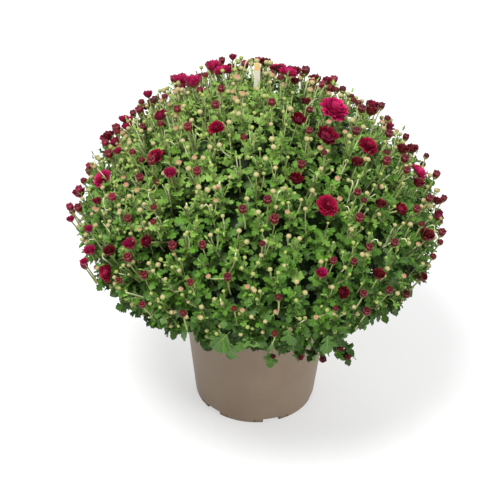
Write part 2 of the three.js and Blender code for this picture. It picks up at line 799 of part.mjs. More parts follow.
// Closed buds stand out to the mound's outline. The last tries for a bud may cross a leaf of its
// own spray, whose body it then joins.
function placeBuds(stems, obstacles, leaves) {
  for (let i = 0; i < BUD.count; i += 1) {
    const share = (i + 0.5) / BUD.count;
    const azimuth = (i + 0.5) * GOLDEN_ANGLE + 1;
    const turn = turnAtShare(share);
    for (let attempt = 0; attempt < BUD.tries; attempt += 1) {
      const shift = between(-1, 1) * 0.05 * attempt;
      const radius = BUD.radius * between(0.85, 1.3);
      const outer = moundPlace(turn, azimuth + shift, radius + between(0, BUD.depth));
      const lean = shift * 0.8 + between(-0.05, 0.05);
      const inner = moundPlace(turn, azimuth + lean, CORE_DEPTH + BUD.sink);
      const { owner, root } = rootedAt(stems, inner.point);
      const grown = budSolid(root, outer.point, radius, CLEARANCE);
      if (obstacles.meets(grown, owner)) continue;
      if (attempt < BUD.triesClearOfLeaves && leaves.meets(grown)) continue;
      const bud = budSolid(root, outer.point, radius);
      stems[owner].pieces.push(bud);
      obstacles.add(owner, bud);
      break;
    }
  }
}

const potSolid = makePot();
const stems = stemPlan();
const soilSolid = makeSoil(stems);
const obstacles = new Obstacles();
obstacles.add('pot', potSolid);
obstacles.add('soil', soilSolid);
obstacles.add('label', labelSolid(CLEARANCE));
const leaves = new Obstacles();
placeStems(stems, obstacles);
const blooms = placeBlooms(stems, obstacles);
placeReachBuds(stems, obstacles);
placeLeaves(stems, obstacles, leaves);
placeBuds(stems, obstacles, leaves);

// ---------------------------------------------------------------- finishes and the group

const FINISHES = {
  pot: new THREE.MeshStandardMaterial({ color: 0x87785f, roughness: 0.55, metalness: 0 }),
  soil: new THREE.MeshStandardMaterial({ color: 0x2e2118, roughness: 0.95, metalness: 0 }),
  foliage: new THREE.MeshStandardMaterial({ color: 0x4c6b2c, roughness: 0.6, metalness: 0 }),
  magenta: new THREE.MeshStandardMaterial({ color: 0xb3215c, roughness: 0.6, metalness: 0 }),
  crimson: new THREE.MeshStandardMaterial({ color: 0x6b0f26, roughness: 0.6, metalness: 0 }),
  label: new THREE.MeshStandardMaterial({ color: 0xf0e0c0, roughness: 0.4, metalness: 0 }),
};

const plant = new THREE.Group();

function addPiece(name, solid, finish) {
  const mesh = new THREE.Mesh(toGeometry(solid), FINISHES[finish]);
  mesh.name = name;
  plant.add(mesh);
}

function numbered(name, index) {
  return `${name}_${String(index + 1).padStart(2, '0')}`;
}

addPiece('pot', potSolid, 'pot');
addPiece('potting_soil', soilSolid, 'soil');
addPiece('plant_label', labelSolid(), 'label');
stems.forEach((stem, index) => {
  const spray = oneBody(joined(stem.pieces));
  // Points nearer than a micrometre fall together here, which can free a scrap: it is dropped too.
  addPiece(numbered('spray', index), oneBody(toSolid(toGeometry(spray))), 'foliage');
});
blooms.forEach((bloom, index) => addPiece(numbered('bloom', index), bloom.solid, bloom.colour));

export default plant;
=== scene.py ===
"""A pot chrysanthemum: leafy sprays with stalks and buds, open flower heads, pot, soil and label.

Metres, +Z up, the front towards -Y. Everything is grown round the frame that is loaded first.
"""

import json
import math
from collections import namedtuple

import bmesh
import bpy
import numpy as np
from bpy.props import FloatProperty, FloatVectorProperty, IntProperty, PointerProperty
from mathutils import Matrix, Vector

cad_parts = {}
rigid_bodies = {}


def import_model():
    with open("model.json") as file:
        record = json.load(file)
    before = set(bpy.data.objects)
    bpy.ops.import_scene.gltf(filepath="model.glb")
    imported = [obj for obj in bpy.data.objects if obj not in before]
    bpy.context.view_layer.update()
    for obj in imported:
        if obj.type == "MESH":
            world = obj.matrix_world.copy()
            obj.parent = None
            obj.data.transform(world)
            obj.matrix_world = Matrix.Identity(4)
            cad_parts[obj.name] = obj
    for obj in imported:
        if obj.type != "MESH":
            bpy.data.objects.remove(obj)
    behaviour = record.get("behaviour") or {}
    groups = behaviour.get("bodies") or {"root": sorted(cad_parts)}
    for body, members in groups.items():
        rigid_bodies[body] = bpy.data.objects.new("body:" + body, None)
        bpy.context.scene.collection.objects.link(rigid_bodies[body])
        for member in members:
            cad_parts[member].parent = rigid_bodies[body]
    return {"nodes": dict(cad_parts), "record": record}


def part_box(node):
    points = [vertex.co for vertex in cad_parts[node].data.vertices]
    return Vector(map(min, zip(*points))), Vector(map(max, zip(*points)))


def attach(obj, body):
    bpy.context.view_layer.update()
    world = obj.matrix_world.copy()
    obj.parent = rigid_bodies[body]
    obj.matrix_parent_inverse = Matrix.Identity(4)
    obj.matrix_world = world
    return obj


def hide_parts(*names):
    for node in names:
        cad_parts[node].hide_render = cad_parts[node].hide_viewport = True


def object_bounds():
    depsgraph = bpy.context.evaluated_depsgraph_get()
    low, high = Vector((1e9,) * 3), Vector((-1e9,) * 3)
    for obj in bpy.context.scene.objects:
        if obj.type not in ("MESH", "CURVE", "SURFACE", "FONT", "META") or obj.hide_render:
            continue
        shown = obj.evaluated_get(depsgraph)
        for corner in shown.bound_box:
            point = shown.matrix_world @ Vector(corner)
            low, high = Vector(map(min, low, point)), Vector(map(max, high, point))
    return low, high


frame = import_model()
CAD_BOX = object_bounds()

bl_info = {
    "name": "Pot chrysanthemum",
    "version": (1, 0, 0),
    "blender": (4, 5, 0),
    "location": "View3D > Sidebar > Chrysanthemum",
    "description": "Grows a pot chrysanthemum round its packed frame",
    "category": "Object",
}

UP = Vector((0, 0, 1))
GOLDEN_ANGLE = math.pi * (3 - math.sqrt(5))
MM = 0.001

# Every leaf, bud and petal has its place in one tile of a map of 8 by 8 tiles. The tile says its
# tint, and the place in it where on the leaf or the petal a point lies.
UV_MAP = "OFBake"
TILES = 8
LEAF_LEVELS = 4
BACK_ROW = 4
STEM_ROW = 5
BUD_ROW = 6
PETAL_ROW = 7
STEM_TILE_WOODY = 5
SHADE_SLAB_TILE = 6
# What only the guides need. It is taken off the grown meshes.
GUIDE_ATTRIBUTES = ("turn", "size", "shape", "tile", "along", "round", "thick")


# ---- what a user may change


def colour_property(name, description, default):
    return FloatVectorProperty(name=name, description=description, default=default, subtype="COLOR")


def length_property(name, description, default):
    return FloatProperty(
        name=name, description=description, default=default, subtype="DISTANCE", unit="LENGTH")


def angle_property(name, description, degrees):
    return FloatProperty(
        name=name, description=description, default=math.radians(degrees), subtype="ANGLE", unit="ROTATION")


class PlantGrowth(bpy.types.PropertyGroup):
    """How the plant has grown."""

    seed: IntProperty(name="Seed", description="Draw of all that is random", default=7, min=0)
    shoots: IntProperty(name="Shoots", description="Leafy shoots all round", default=600, min=20, max=800)
    leaves: IntProperty(name="Leaves", description="Leaves on a shoot", default=18, min=4, max=24)
    leaf_top: length_property("Crown leaf", "Length of a full leaf at the crown", 0.016)
    leaf_skirt: length_property("Skirt leaf", "Length of a full leaf over the pot", 0.034)
    buds: FloatProperty(name="Buds", description="Side buds on a shoot", default=1.0, min=0, max=8)
    coloured: IntProperty(
        name="Coloured buds", description="Small coloured buds on the front", default=132, min=0, max=400)
    stalk: length_property("Stalk", "Radius of a bud's stalk", 0.00072)


class PlantColours(bpy.types.PropertyGroup):
    """The plant's colours."""

    leaf_young: colour_property("Young leaf", "A leaf near the crown", (0.27, 0.45, 0.082))
    leaf: colour_property("Leaf", "A full-grown leaf", (0.100, 0.258, 0.018))
    # Old leaves are darker, and this very dark green is also painted shade on the low leaves under the
    # overhang.
    leaf_old_and_shade: colour_property("Old leaf", "A leaf over the pot", (0.021, 0.061, 0.005))
    # A dark leaf tone: some leaves take it at random, and it is painted shade on the leaves that lie deep in
    # the plant.
    leaf_dark_and_shade: colour_property("Inner leaf", "A leaf deep in the plant", (0.026, 0.064, 0.010))
    leaf_back: colour_property("Leaf back", "A leaf's underside", (0.17, 0.25, 0.09))
    stalk: colour_property("Stalk", "A young stalk", (0.40, 0.46, 0.19))
    wood: colour_property("Wood", "An old stem", (0.13, 0.09, 0.05))
    magenta: colour_property("Magenta", "Open petals", (0.52, 0.009, 0.115))
    crimson: colour_property("Crimson", "Opening petals", (0.092, 0.0035, 0.0045))
    cream: colour_property("Cream", "A swelling bud", (0.41, 0.345, 0.17))
    green_bud: colour_property("Green bud", "A closed bud", (0.30, 0.36, 0.10))


class PotLook(bpy.types.PropertyGroup):
    """The pot, the soil and the label."""

    plastic: colour_property("Pot", "The pot's plastic", (0.198, 0.140, 0.093))
    soil: colour_property("Soil", "Damp potting soil", (0.035, 0.022, 0.014))
    crumbs: IntProperty(name="Crumbs", description="Crumbs on a square metre", default=42000, min=0)
    label: colour_property("Label", "The label's plastic", (0.90, 0.84, 0.70))
    label_end: colour_property("Label end", "The label's coloured end", (0.93, 0.60, 0.25))


class StageLight(bpy.types.PropertyGroup):
    """Camera and lights."""

    lens: FloatProperty(name="Lens", description="The camera's lens, in millimetres", default=108.0)
    distance: length_property("Distance", "From the camera to the plant", 1.935)
    elevation: angle_property("Elevation", "How far the camera looks down", 34.89)
    roll: angle_property("Roll", "How far the camera leans", 1.17)
    key: FloatProperty(name="Key light", description="Its power", default=81.0, unit="POWER")
    sky: FloatProperty(name="Sky", description="Brightness of the even light", default=0.60)


GROUPS = {"growth": PlantGrowth, "colours": PlantColours, "potting": PotLook, "stage": StageLight}


def settings(name):
    return getattr(bpy.context.scene, "chrysanthemum_" + name)


# ---- node trees


def operation(name, reflected=False):
    """A method that adds a Math node, for an operator or for its reflected form."""

    def method(self, *others):
        values = (*others, self) if reflected else (self, *others)
        return self.graph.wire("ShaderNodeMath", {"operation": name}, dict(enumerate(values)))

    return method


class Wire:
    """A socket in a node tree. Arithmetic on it adds Math nodes."""

    def __init__(self, graph, socket):
        self.graph = graph
        self.socket = socket

    __add__ = operation("ADD")
    __radd__ = operation("ADD", reflected=True)
    __sub__ = operation("SUBTRACT")
    __rsub__ = operation("SUBTRACT", reflected=True)
    __mul__ = operation("MULTIPLY")
    __rmul__ = operation("MULTIPLY", reflected=True)
    __truediv__ = operation("DIVIDE")
    __gt__ = operation("GREATER_THAN")
    __lt__ = operation("LESS_THAN")
    __abs__ = operation("ABSOLUTE")
    floor = operation("FLOOR")
    fraction = operation("FRACT")
    sine = operation("SINE")

    def step(self, low, high):
        """0 below low and 1 above high, smooth between them. It falls where high is the lower."""
        if low > high:
            return 1 - self.step(high, low)
        values = {"Value": self, "From Min": low, "From Max": high}
        return self.graph.wire("ShaderNodeMapRange", {"interpolation_type": "SMOOTHSTEP"}, values)


class Graph:
    """A node tree that is filled by calls."""

    def __init__(self, tree):
        self.tree = tree

    def node(self, kind, options=None, values=None):
        """Adds a node: its options are set first, then the values or links of its sockets."""
        node = self.tree.nodes.new(kind)
        for name, value in (options or {}).items():
            setattr(node, name, value)
        for name, value in (values or {}).items():
            self.feed(node.inputs[name], value)
        return node

    def wire(self, kind, options=None, values=None, output=0):
        return Wire(self, self.node(kind, options, values).outputs[output])

    def feed(self, socket, value):
        """Links a wire or another socket to a socket, or sets its value."""
        if isinstance(value, Wire):
            self.tree.links.new(value.socket, socket)
        elif isinstance(value, bpy.types.NodeSocket):
            self.tree.links.new(value, socket)
        elif socket.type == "RGBA":
            socket.default_value = (*value, 1)
        else:
            socket.default_value = value

    def mix(self, first, second, share):
        """A colour between two colours. Only sockets 6 and 7 of the Mix node take colours."""
        return self.wire("ShaderNodeMix", {"data_type": "RGBA"}, {0: share, 6: first, 7: second}, 2)

    def layers(self, colour, *layers):
        """A colour with others laid over it in turn, each by its share."""
        for over, share in layers:
            colour = self.mix(colour, over, share)
        return colour

    def vector(self, *parts):
        return self.wire("ShaderNodeCombineXYZ", None, dict(enumerate(parts)))

    def parts(self, vector):
        """A vector's X, Y and Z."""
        return [Wire(self, part) for part in self.node("ShaderNodeSeparateXYZ", None, {0: vector}).outputs]


class Finish(Graph):
    """A material on one Principled shader, with its colour, roughness and bump fed by expressions."""

    def __init__(self, name, **plain):
        self.material = bpy.data.materials.new(name)
        self.material.use_nodes = True
        super().__init__(self.material.node_tree)
        self.shader = next(n for n in self.tree.nodes if n.type == "BSDF_PRINCIPLED")
        for socket, value in plain.items():
            self.feed(self.shader.inputs[socket.replace("_", " ")], value)

    def tile(self):
        """A point's place in its tile, along and across, and the tile's column and row."""
        x, y, _ = self.parts(self.node("ShaderNodeUVMap", {"uv_map": UV_MAP}).outputs[0])
        x, y = x * TILES, y * TILES
        return x.fraction(), y.fraction(), x.floor(), y.floor()

    def position(self):
        """Where a point lies on the piece."""
        return self.node("ShaderNodeTexCoord").outputs["Object"]

    def chance(self, *wires):
        """A random number that is the same all over a tile."""
        values = {"Vector": self.vector(*wires)}
        return self.wire("ShaderNodeTexWhiteNoise", {"noise_dimensions": "3D"}, values)

    def noise(self, scale, detail=3.0, roughness=0.55, stretch=(1, 1, 1), place=None):
        values = {"Vector": self.position() if place is None else place, "Scale": stretch}
        place = self.wire("ShaderNodeMapping", None, values)
        values = {"Vector": place, "Scale": scale, "Detail": detail, "Roughness": roughness}
        return self.wire("ShaderNodeTexNoise", None, values)

    def bump(self, height, distance, strength):
        values = {"Height": height, "Distance": distance, "Strength": strength}
        self.feed(self.shader.inputs["Normal"], self.wire("ShaderNodeBump", None, values))

    def colour(self, value):
        self.feed(self.shader.inputs["Base Color"], value)

    def roughness(self, value):
        self.feed(self.shader.inputs["Roughness"], value)


# ---- finishes

# Shades that tint, line or darken the colours that a user may change.
FRESH_LEAF = (0.21, 0.31, 0.03)
LEAF_BLOTCH = (0.05, 0.11, 0.012)
LEAF_VEIN = (0.30, 0.42, 0.12)
BACK_RIB = (0.24, 0.30, 0.14)
STALK_WARM = (0.36, 0.32, 0.15)
STALK_GREEN = (0.26, 0.36, 0.09)
STALK_PALE = (0.64, 0.68, 0.39)
STEM_STREAK = (0.07, 0.07, 0.02)
# Painted shade: the near-black of the slab that stands where the plant's inside lies in shade.
INNER_PAINTED_SHADE = (0.009, 0.022, 0.004)
BUD_BLUSH = (0.42, 0.20, 0.13)
BUD_LINE = (0.36, 0.34, 0.09)
BUD_FOOT = (0.25, 0.36, 0.08)
BUD_RED_TIP = (0.30, 0.06, 0.05)
RED_DEEP = (0.060, 0.0025, 0.004)
# Painted shade inside a red bud near its foot.
RED_FOOT_SHADE = (0.05, 0.001, 0.006)
RED_BACK = (0.33, 0.17, 0.09)
# Painted shade in the seams between a red bud's petals, and a painted highlight on its rim.
RED_SEAM_SHADE = (0.030, 0.001, 0.004)
RED_RIM_HIGHLIGHT = (0.47, 0.11, 0.14)
CALYX_FOOT = (0.12, 0.20, 0.04)
CALYX_TIP = (0.27, 0.34, 0.09)
PETAL_BACK = (0.50, 0.10, 0.20)
# The painted shade deep in a flower head, which also colours its streaks, the tone of its petals' edges, and
# the shades of the heads that lean another way.
MAGENTA_SHADES = ((0.26, 0.003, 0.040), (0.66, 0.030, 0.17), (0.26, 0.005, 0.022))
CRIMSON_SHADES = ((0.075, 0.001, 0.007), (0.34, 0.010, 0.04), (0.24, 0.004, 0.040))
POT_CLOUD = (0.245, 0.182, 0.124)
POT_RUN = (0.165, 0.118, 0.080)
POT_DUST = (0.42, 0.36, 0.29)
POT_GRAIN = (0.15, 0.108, 0.074)
POT_PAINTED_SHADE = (0.055, 0.040, 0.028)
SOIL_DRY = (0.075, 0.048, 0.028)
SOIL_FIBRE = (0.15, 0.10, 0.06)
LABEL_GRIME = (0.62, 0.52, 0.36)
FLOOR_SHADES = ((0.46, 0.46, 0.46), (0.48, 0.48, 0.48))


def leaf_finish():
    """Leaves: the tile's column is their age, its row how deep in the plant they lie; the deeper ones are
    darkened as painted shade.
    """
    tint = settings("colours")
    finish = Finish("leaf_green", Specular_IOR_Level=0.3)
    along, across, column, row = finish.tile()
    back = row > BACK_ROW - 0.5
    chance = finish.chance(column, row)
    # Painted shade: the deeper a leaf lies, the more it takes the dark leaf tone and the fainter its veins.
    depth = (row / (LEAF_LEVELS - 1)).step(0.0, 1.1)
    side = abs(across - 0.5)
    age = column / (TILES - 1)
    blotch = finish.noise(260.0, 2.0).step(0.35, 0.7)
    veins = (along * 5.2 - side * 3.6).fraction()
    vein = veins.step(0.16, 0.0) + veins.step(0.84, 1.0)
    rib = side.step(0.035, 0.008)
    lines = (rib * 0.5 + vein * 0.25) * along.step(1.0, 0.2)
    upper = finish.layers(
        tint.leaf_young,
        (tint.leaf, age.step(-0.05, 0.42)),
        (tint.leaf_old_and_shade, age.step(0.45, 0.95)),
        (FRESH_LEAF, (chance > 0.75) * (1 - age) * 0.3),
        (tint.leaf_dark_and_shade, (chance < 0.3) * 0.35),
        (LEAF_BLOTCH, blotch * (1 - age) * 0.35),
        # painted shade on the deeper leaves
        (tint.leaf_dark_and_shade, depth),
        (LEAF_VEIN, lines * (1 - depth * 0.8) * (1 - age * 0.35)),
    )
    under = finish.layers(tint.leaf_back, (tint.leaf, age * 0.7), (BACK_RIB, rib * 0.6))
    finish.colour(finish.mix(upper, under, back))
    finish.roughness(0.42 + 0.14 * chance + 0.2 * back)
    finish.bump((1 - rib) * 0.6 + (1 - vein) * 0.4, 0.5 * MM, 0.6)
    return finish.material


def stem_finish():
    """Stalks and stems: the tile's column is their age, and the last one is the inner slab, painted
    near-black as the shade inside the plant.
    """
    tint = settings("colours")
    finish = Finish("stem_green", Roughness=0.6, Specular_IOR_Level=0.15)
    along, across, column, _ = finish.tile()
    chance = finish.chance(column, 2.0)
    streak = finish.noise(6.0, stretch=(6, 1, 1), place=finish.vector(along, across, column))
    young = finish.layers(
        tint.stalk, (STALK_WARM, (column / 4.0).step(0.4, 1.0)), (STALK_GREEN, chance * 0.6))
    finish.colour(finish.layers(
        STALK_PALE,
        (young, column.step(0.0, 1.0)),
        (tint.wood, column > STEM_TILE_WOODY - 0.5),
        (STEM_STREAK, streak.step(0.5, 0.8) * 0.3),
        # painted shade: the inner slab is near-black
        (INNER_PAINTED_SHADE, column > SHADE_SLAB_TILE - 0.5),
    ))
    finish.bump(streak, 0.3 * MM, 0.4)
    return finish.material


def petal_place(around):
    """How far a place lies from its petal's middle line, and whether it is on the petal's back."""
    side = (around * 2.0).fraction()
    return abs(side - 0.5) * 2.0, around > 0.5


def with_calyx(finish, petals, up, row):
    """The petals' colour, or the calyx's green in the row of tiles that calyxes have."""
    return finish.mix(petals, finish.mix(CALYX_FOOT, CALYX_TIP, up), row < BUD_ROW - 0.5)


def bud_finish():
    """Closed and opening buds: the tile's row and column are the kind of bud. Red buds carry painted shade
    inside near their feet and in the seams between petals, and a painted highlight on their rims.
    """
    tint = settings("colours")
    finish = Finish("bud_and_calyx", Roughness=0.5, Specular_IOR_Level=0.18)
    around, up, column, row = finish.tile()
    chance = finish.chance(column, row)
    off, back = petal_place(around)
    # Near a petal's edge, where it meets the next: lines on closed buds, painted shade on red ones.
    fold = off.step(0.5, 0.84)
    kind = column / (TILES - 1)
    closed = finish.layers(
        tint.green_bud,
        (tint.cream, kind.step(0.25, 0.5)),
        (BUD_BLUSH, kind.step(0.75, 0.9) * up.step(0.5, 0.85)),
        (BUD_LINE, fold * 0.55),
        (BUD_FOOT, up.step(0.55, 0.15) * 0.8),
        (BUD_RED_TIP, up.step(0.80, 0.97) * (column > 5.5) * 0.75),
    )
    red = finish.layers(
        RED_DEEP, (tint.crimson, kind.step(0.0, 0.4)), (tint.magenta, kind.step(0.5, 1.1) * 0.8))
    outside = finish.mix(red, RED_BACK, up.step(0.72, 0.2) * (0.3 + 0.5 * chance))
    # Painted shade near the foot inside and in the seams, and a painted highlight on the rim.
    red = finish.layers(
        red,
        (RED_FOOT_SHADE, up.step(0.6, 0.1) * 0.8),
        (outside, back),
        (RED_SEAM_SHADE, fold * 0.75),
        (RED_RIM_HIGHLIGHT, up.step(0.74, 1.0) * 0.48 * (1 - fold)),
    )
    finish.colour(with_calyx(finish, finish.mix(closed, red, row > BUD_ROW + 0.5), up, row))
    finish.bump(1 - fold, 0.4 * MM, 0.6)
    return finish.material


def petal_finish(name, colour, deep, edge, other):
    """A flower head's petals, with fine streaks from foot to tip and painted shade towards their feet; high
    columns lean to another colour.
    """
    finish = Finish(name, Roughness=0.5, Specular_IOR_Level=0.15)
    around, up, column, row = finish.tile()
    chance = finish.chance(column, row, 5.0)
    off, back = petal_place(around)
    streak = ((off * 22.0).sine() * 0.5 + 0.5) * up.step(0.0, 0.5)
    inside = finish.layers(
        colour,
        (edge, chance * 0.25),
        # painted shade deep in the head, towards the petals' feet
        (deep, up.step(0.7, 0.05) * 0.8),
        (deep, streak * 0.28),
        (edge, off.step(0.45, 0.84) * 0.45 + up.step(0.8, 1.0) * 0.5),
        (other, (column / (TILES - 1)).step(0.3, 0.6) * 0.85),
    )
    shown = finish.mix(inside, finish.mix(inside, PETAL_BACK, 0.15), back)
    finish.colour(with_calyx(finish, shown, up, row))
    finish.bump(streak, 0.25 * MM, 0.4)
    return finish.material


def pot_finish():
    """Matt plastic with dust and faint runs, and painted shade in the corners of its notches and pads."""
    look = settings("potting")
    finish = Finish("matt_pot_plastic", Specular_IOR_Level=0.4)
    cloud = finish.noise(11.0, 5.0, 0.6)
    grain = finish.noise(900.0, 2.0)
    specks = finish.noise(420.0, 1.0).step(0.70, 0.76)
    run = finish.noise(75.0, 3.0, 0.6, (1, 1, 0.08)).step(0.52, 0.75)
    x, y, height = finish.parts(finish.position())
    azimuth = finish.wire("ShaderNodeMath", {"operation": "ARCTAN2"}, {0: x, 1: 0 - y})
    # Counted in notches, with whole turns added that keep it above zero.
    between = 360 / PotPlan.notches
    whole_turns = 10
    start = whole_turns + 0.5 - PotPlan.first_notch / between
    from_notch = abs((azimuth * (math.degrees(1) / between) + start).fraction() - 0.5) * between
    inner = PotPlan.notch_angle / 2
    outer = inner + PotPlan.pad_angle
    # Painted shade: low on the pads, in their corners and along their ledge.
    on_pad = (from_notch > inner - 0.2) * (from_notch < outer)
    ledge = abs(height - PotPlan.pad_height).step(0.9 * MM, 0.3 * MM) * on_pad
    corner = abs(from_notch - outer).step(1.2, 0.5) + abs(from_notch - inner).step(1.0, 0.4)
    low = height.step(PotPlan.pad_height + 1.2 * MM, PotPlan.pad_height + 0.6 * MM)
    painted_shade = low * (on_pad * 0.15 + (corner * 0.6 + ledge * 0.3))
    finish.colour(finish.layers(
        look.plastic,
        (POT_CLOUD, cloud.step(0.35, 0.7) * 0.6),
        (POT_RUN, run * 0.22),
        (POT_DUST, specks * 0.18),
        (POT_GRAIN, grain.step(0.55, 0.75) * 0.15),
        (POT_PAINTED_SHADE, painted_shade),
    ))
    finish.roughness(0.44 + 0.12 * cloud + 0.15 * specks)
    finish.bump(grain, 0.12 * MM, 0.3)
    return finish.material


def soil_finish():
    """Damp soil with drier clods and pale fibres."""
    look = settings("potting")
    finish = Finish("damp_soil", Roughness=0.9)
    clod = finish.noise(120.0, 5.0, 0.7)
    fibre = finish.noise(380.0, 3.0, 0.6, (1, 3, 1)).step(0.6, 0.72)
    finish.colour(finish.layers(look.soil, (SOIL_DRY, clod.step(0.45, 0.7)), (SOIL_FIBRE, fibre * 0.5)))
    finish.bump(clod, 1.5 * MM, 0.8)
    return finish.material


def label_finish(band_from, stripe):
    """Plain plastic, coloured at its top end and in one stripe lower down."""
    look = settings("potting")
    finish = Finish("plain_label_plastic", Roughness=0.35)
    height = finish.parts(finish.position())[2]
    low, high = stripe
    band = height.step(band_from - MM, band_from + MM)
    line = height.step(low - MM, low + MM) * height.step(high + MM, high - MM)
    grime = finish.noise(150.0, 4.0).step(0.5, 0.75)
    coloured = (look.label_end, (band + line) * (1 - 0.2 * grime))
    finish.colour(finish.layers(look.label, (LABEL_GRIME, grime * 0.35), coloured))
    finish.roughness(0.32 + 0.2 * grime)
    return finish.material


def floor_finish():
    """The pale floor, which gives a little light of its own."""
    finish = Finish("pale_floor", Roughness=0.9, Specular_IOR_Level=0.1, Emission_Color=(1, 1, 1),
                    Emission_Strength=0.50)
    finish.colour(finish.mix(*FLOOR_SHADES, finish.noise(1.3, 2.0)))
    return finish.material


# ---- the mound's form


class Mound:
    """The plant's outline, a form of revolution that is rounder below its waist than above it."""

    waist = 0.285
    fall = 0.167
    upper_power = 1.5
    lower_power = 1.63
    skirt_radius = 0.100
    # The point from which the sprays fan out.
    fan = Vector((0, 0, 0.238))
    # The crown stands to the left, and drops by as much as it has here from left to right.
    crown_shift = -0.010
    crown_drop = ((-0.04, 0.0), (0.02, 0.009), (0.05, 0.014), (0.10, 0.010), (0.15, 0.0))
    # How deep under the outline the shoots' tips lie, by degrees from the crown down.
    leaf_depth = (
        (0, 0.024), (25, 0.017), (90, 0.010), (112, 0.008), (121, 0.019), (132, 0.033), (150, 0.040),
    )
    # How deep under the outline the inner slab of painted shade lies.
    core_depth = 0.060

    def __init__(self, low, high):
        self.radius = (high.x - low.x) / 2
        self.rise = high.z - self.waist
        turns = np.linspace(0, math.pi, 400)
        places = np.array([self.outline(turn) for turn in turns])
        end = int(np.argmax((turns > math.pi / 2) & (places[:, 0] < self.skirt_radius)))
        self.turns, places = turns[:end], places[:end]
        steps = np.hypot(*np.diff(places, axis=0).T)
        rings = (places[1:, 0] + places[:-1, 0]) * steps
        self.shares = np.concatenate([[0], np.cumsum(rings)]) / rings.sum()

    def outline(self, turn, depth=0.0):
        """Radius and height of the outline at a turn from the crown, drawn in by a depth."""
        above = turn < math.pi / 2
        power = self.upper_power if above else self.lower_power
        reach = self.rise if above else -self.fall
        radius = self.radius * abs(math.sin(turn)) ** (2 / power)
        height = reach * abs(math.cos(turn)) ** (2 / power)
        length = math.hypot(radius, height)
        scale = (length - depth) / length
        return radius * scale, self.waist + height * scale

    def turn_at(self, share):
        """The turn down to which the outline holds this share of its area."""
        return float(np.interp(share, self.shares, self.turns))

    def turn_at_height(self, height):
        """The turn at which the outline comes down to a height."""
        return float(np.interp(-height, [-self.outline(turn)[1] for turn in self.turns], self.turns))

    def leaf_depth_at(self, turn):
        return float(np.interp(math.degrees(turn), *zip(*self.leaf_depth)))

    def place(self, turn, azimuth, depth=0.0):
        """A point under the outline, and the outline's outward direction there."""
        radius, height = self.outline(turn, depth)
        step = 0.02
        before = self.outline(max(turn - step, 1e-4))
        after = self.outline(turn + step)
        across, down = after[0] - before[0], after[1] - before[1]
        return self.shifted(compass(azimuth, radius, height)), compass(azimuth, -down, across).normalized()

    def held(self, point, most):
        """A point, drawn in towards the waist's middle where it stands out past the outline."""
        middle = Vector((0, 0, self.waist))
        out = self.shifted(point, -1.0) - middle
        above = out.z > 0
        power = self.upper_power if above else self.lower_power
        reach = self.rise if above else self.fall
        level = (out.xy.length / self.radius) ** power + (abs(out.z) / reach) ** power
        return self.shifted(middle + out / max(1.0, level ** (1 / power) / most))

    def shifted(self, point, share=1.0):
        """The crown stands a little to the left, and is lower on its right."""
        rise = max(0.0, (point.z - self.waist) / self.rise) ** 1.5
        drop = float(np.interp(point.x, *zip(*self.crown_drop)))
        return point + Vector((self.crown_shift, 0, -drop)) * (share * rise)


def compass(azimuth, radius, height):
    """Azimuth 0 is the front, and it grows towards the right."""
    return Vector((radius * math.sin(azimuth), -radius * math.cos(azimuth), height))


def basis(along, face):
    """The turn that lays a piece's X along a direction and its Z towards a face."""
    x = along.normalized()
    y = face.cross(x).normalized()
    return Matrix((x, y, x.cross(y))).transposed().to_quaternion()


def standing(axis, spin):
    """The turn that lays a piece's Z along an axis, spun about it."""
    side = axis.orthogonal().normalized()
    side.rotate(Matrix.Rotation(spin, 3, axis))
    return basis(side, axis)


def linked(name, mesh):
    """A mesh's object, in the scene."""
    piece = bpy.data.objects.new(name, mesh)
    bpy.context.scene.collection.objects.link(piece)
    return piece


def mesh_of(form, name):
    """A form's mesh. The form is freed."""
    mesh = bpy.data.meshes.new(name)
    form.to_mesh(mesh)
    form.free()
    return mesh


# ---- small shapes


class Shape:
    """Collects closed surfaces whose corners each have a place in one tile."""

    def __init__(self, name):
        self.name = name
        self.points = []
        self.faces = []
        self.places = []
        self.sharp = set()

    def point(self, *place):
        self.points.append(Vector(place[0] if len(place) == 1 else place))
        return len(self.points) - 1

    def face(self, *corners):
        """A face from corners that are each a point's index and its place in the tile."""
        self.faces.append([index for index, _ in corners])
        self.places.extend(place for _, place in corners)

    def crease(self, line):
        self.sharp.update(frozenset(pair) for pair in zip(line, line[1:]))

    def finish(self, collection):
        mesh = bpy.data.meshes.new(self.name)
        mesh.from_pydata([tuple(point) for point in self.points], [], self.faces)
        places = np.array(self.places, np.float32).ravel()
        mesh.uv_layers.new(name=UV_MAP).uv.foreach_set("vector", places)
        mesh.shade_smooth()
        for edge in mesh.edges:
            edge.use_edge_sharp = frozenset(edge.vertices) in self.sharp
        collection.objects.link(bpy.data.objects.new(self.name, mesh))


# Half a leaf's lobed edge from its foot to its tip: along, across, and the place on the midrib
# that the blade's triangles fan out from.
LOBED_HALF = (
    (0.17, 0.10, 1), (0.22, 0.20, 1), (0.29, 0.20, 1), (0.36, 0.23, 1), (0.37, 0.07, 1),
    (0.43, 0.19, 2), (0.48, 0.31, 2), (0.55, 0.30, 2), (0.62, 0.32, 2), (0.64, 0.09, 2),
    (0.71, 0.17, 3), (0.79, 0.20, 3), (0.85, 0.16, 3), (0.92, 0.13, 3), (0.96, 0.05, 3),
)
BROAD_HALF = (
    (0.16, 0.13, 1), (0.21, 0.27, 1), (0.28, 0.24, 1), (0.35, 0.31, 1), (0.39, 0.13, 1),
    (0.45, 0.28, 2), (0.50, 0.39, 2), (0.57, 0.33, 2), (0.65, 0.37, 2), (0.67, 0.15, 2),
    (0.74, 0.24, 3), (0.82, 0.25, 3), (0.85, 0.16, 3), (0.93, 0.13, 3), (0.95, 0.05, 3),
)
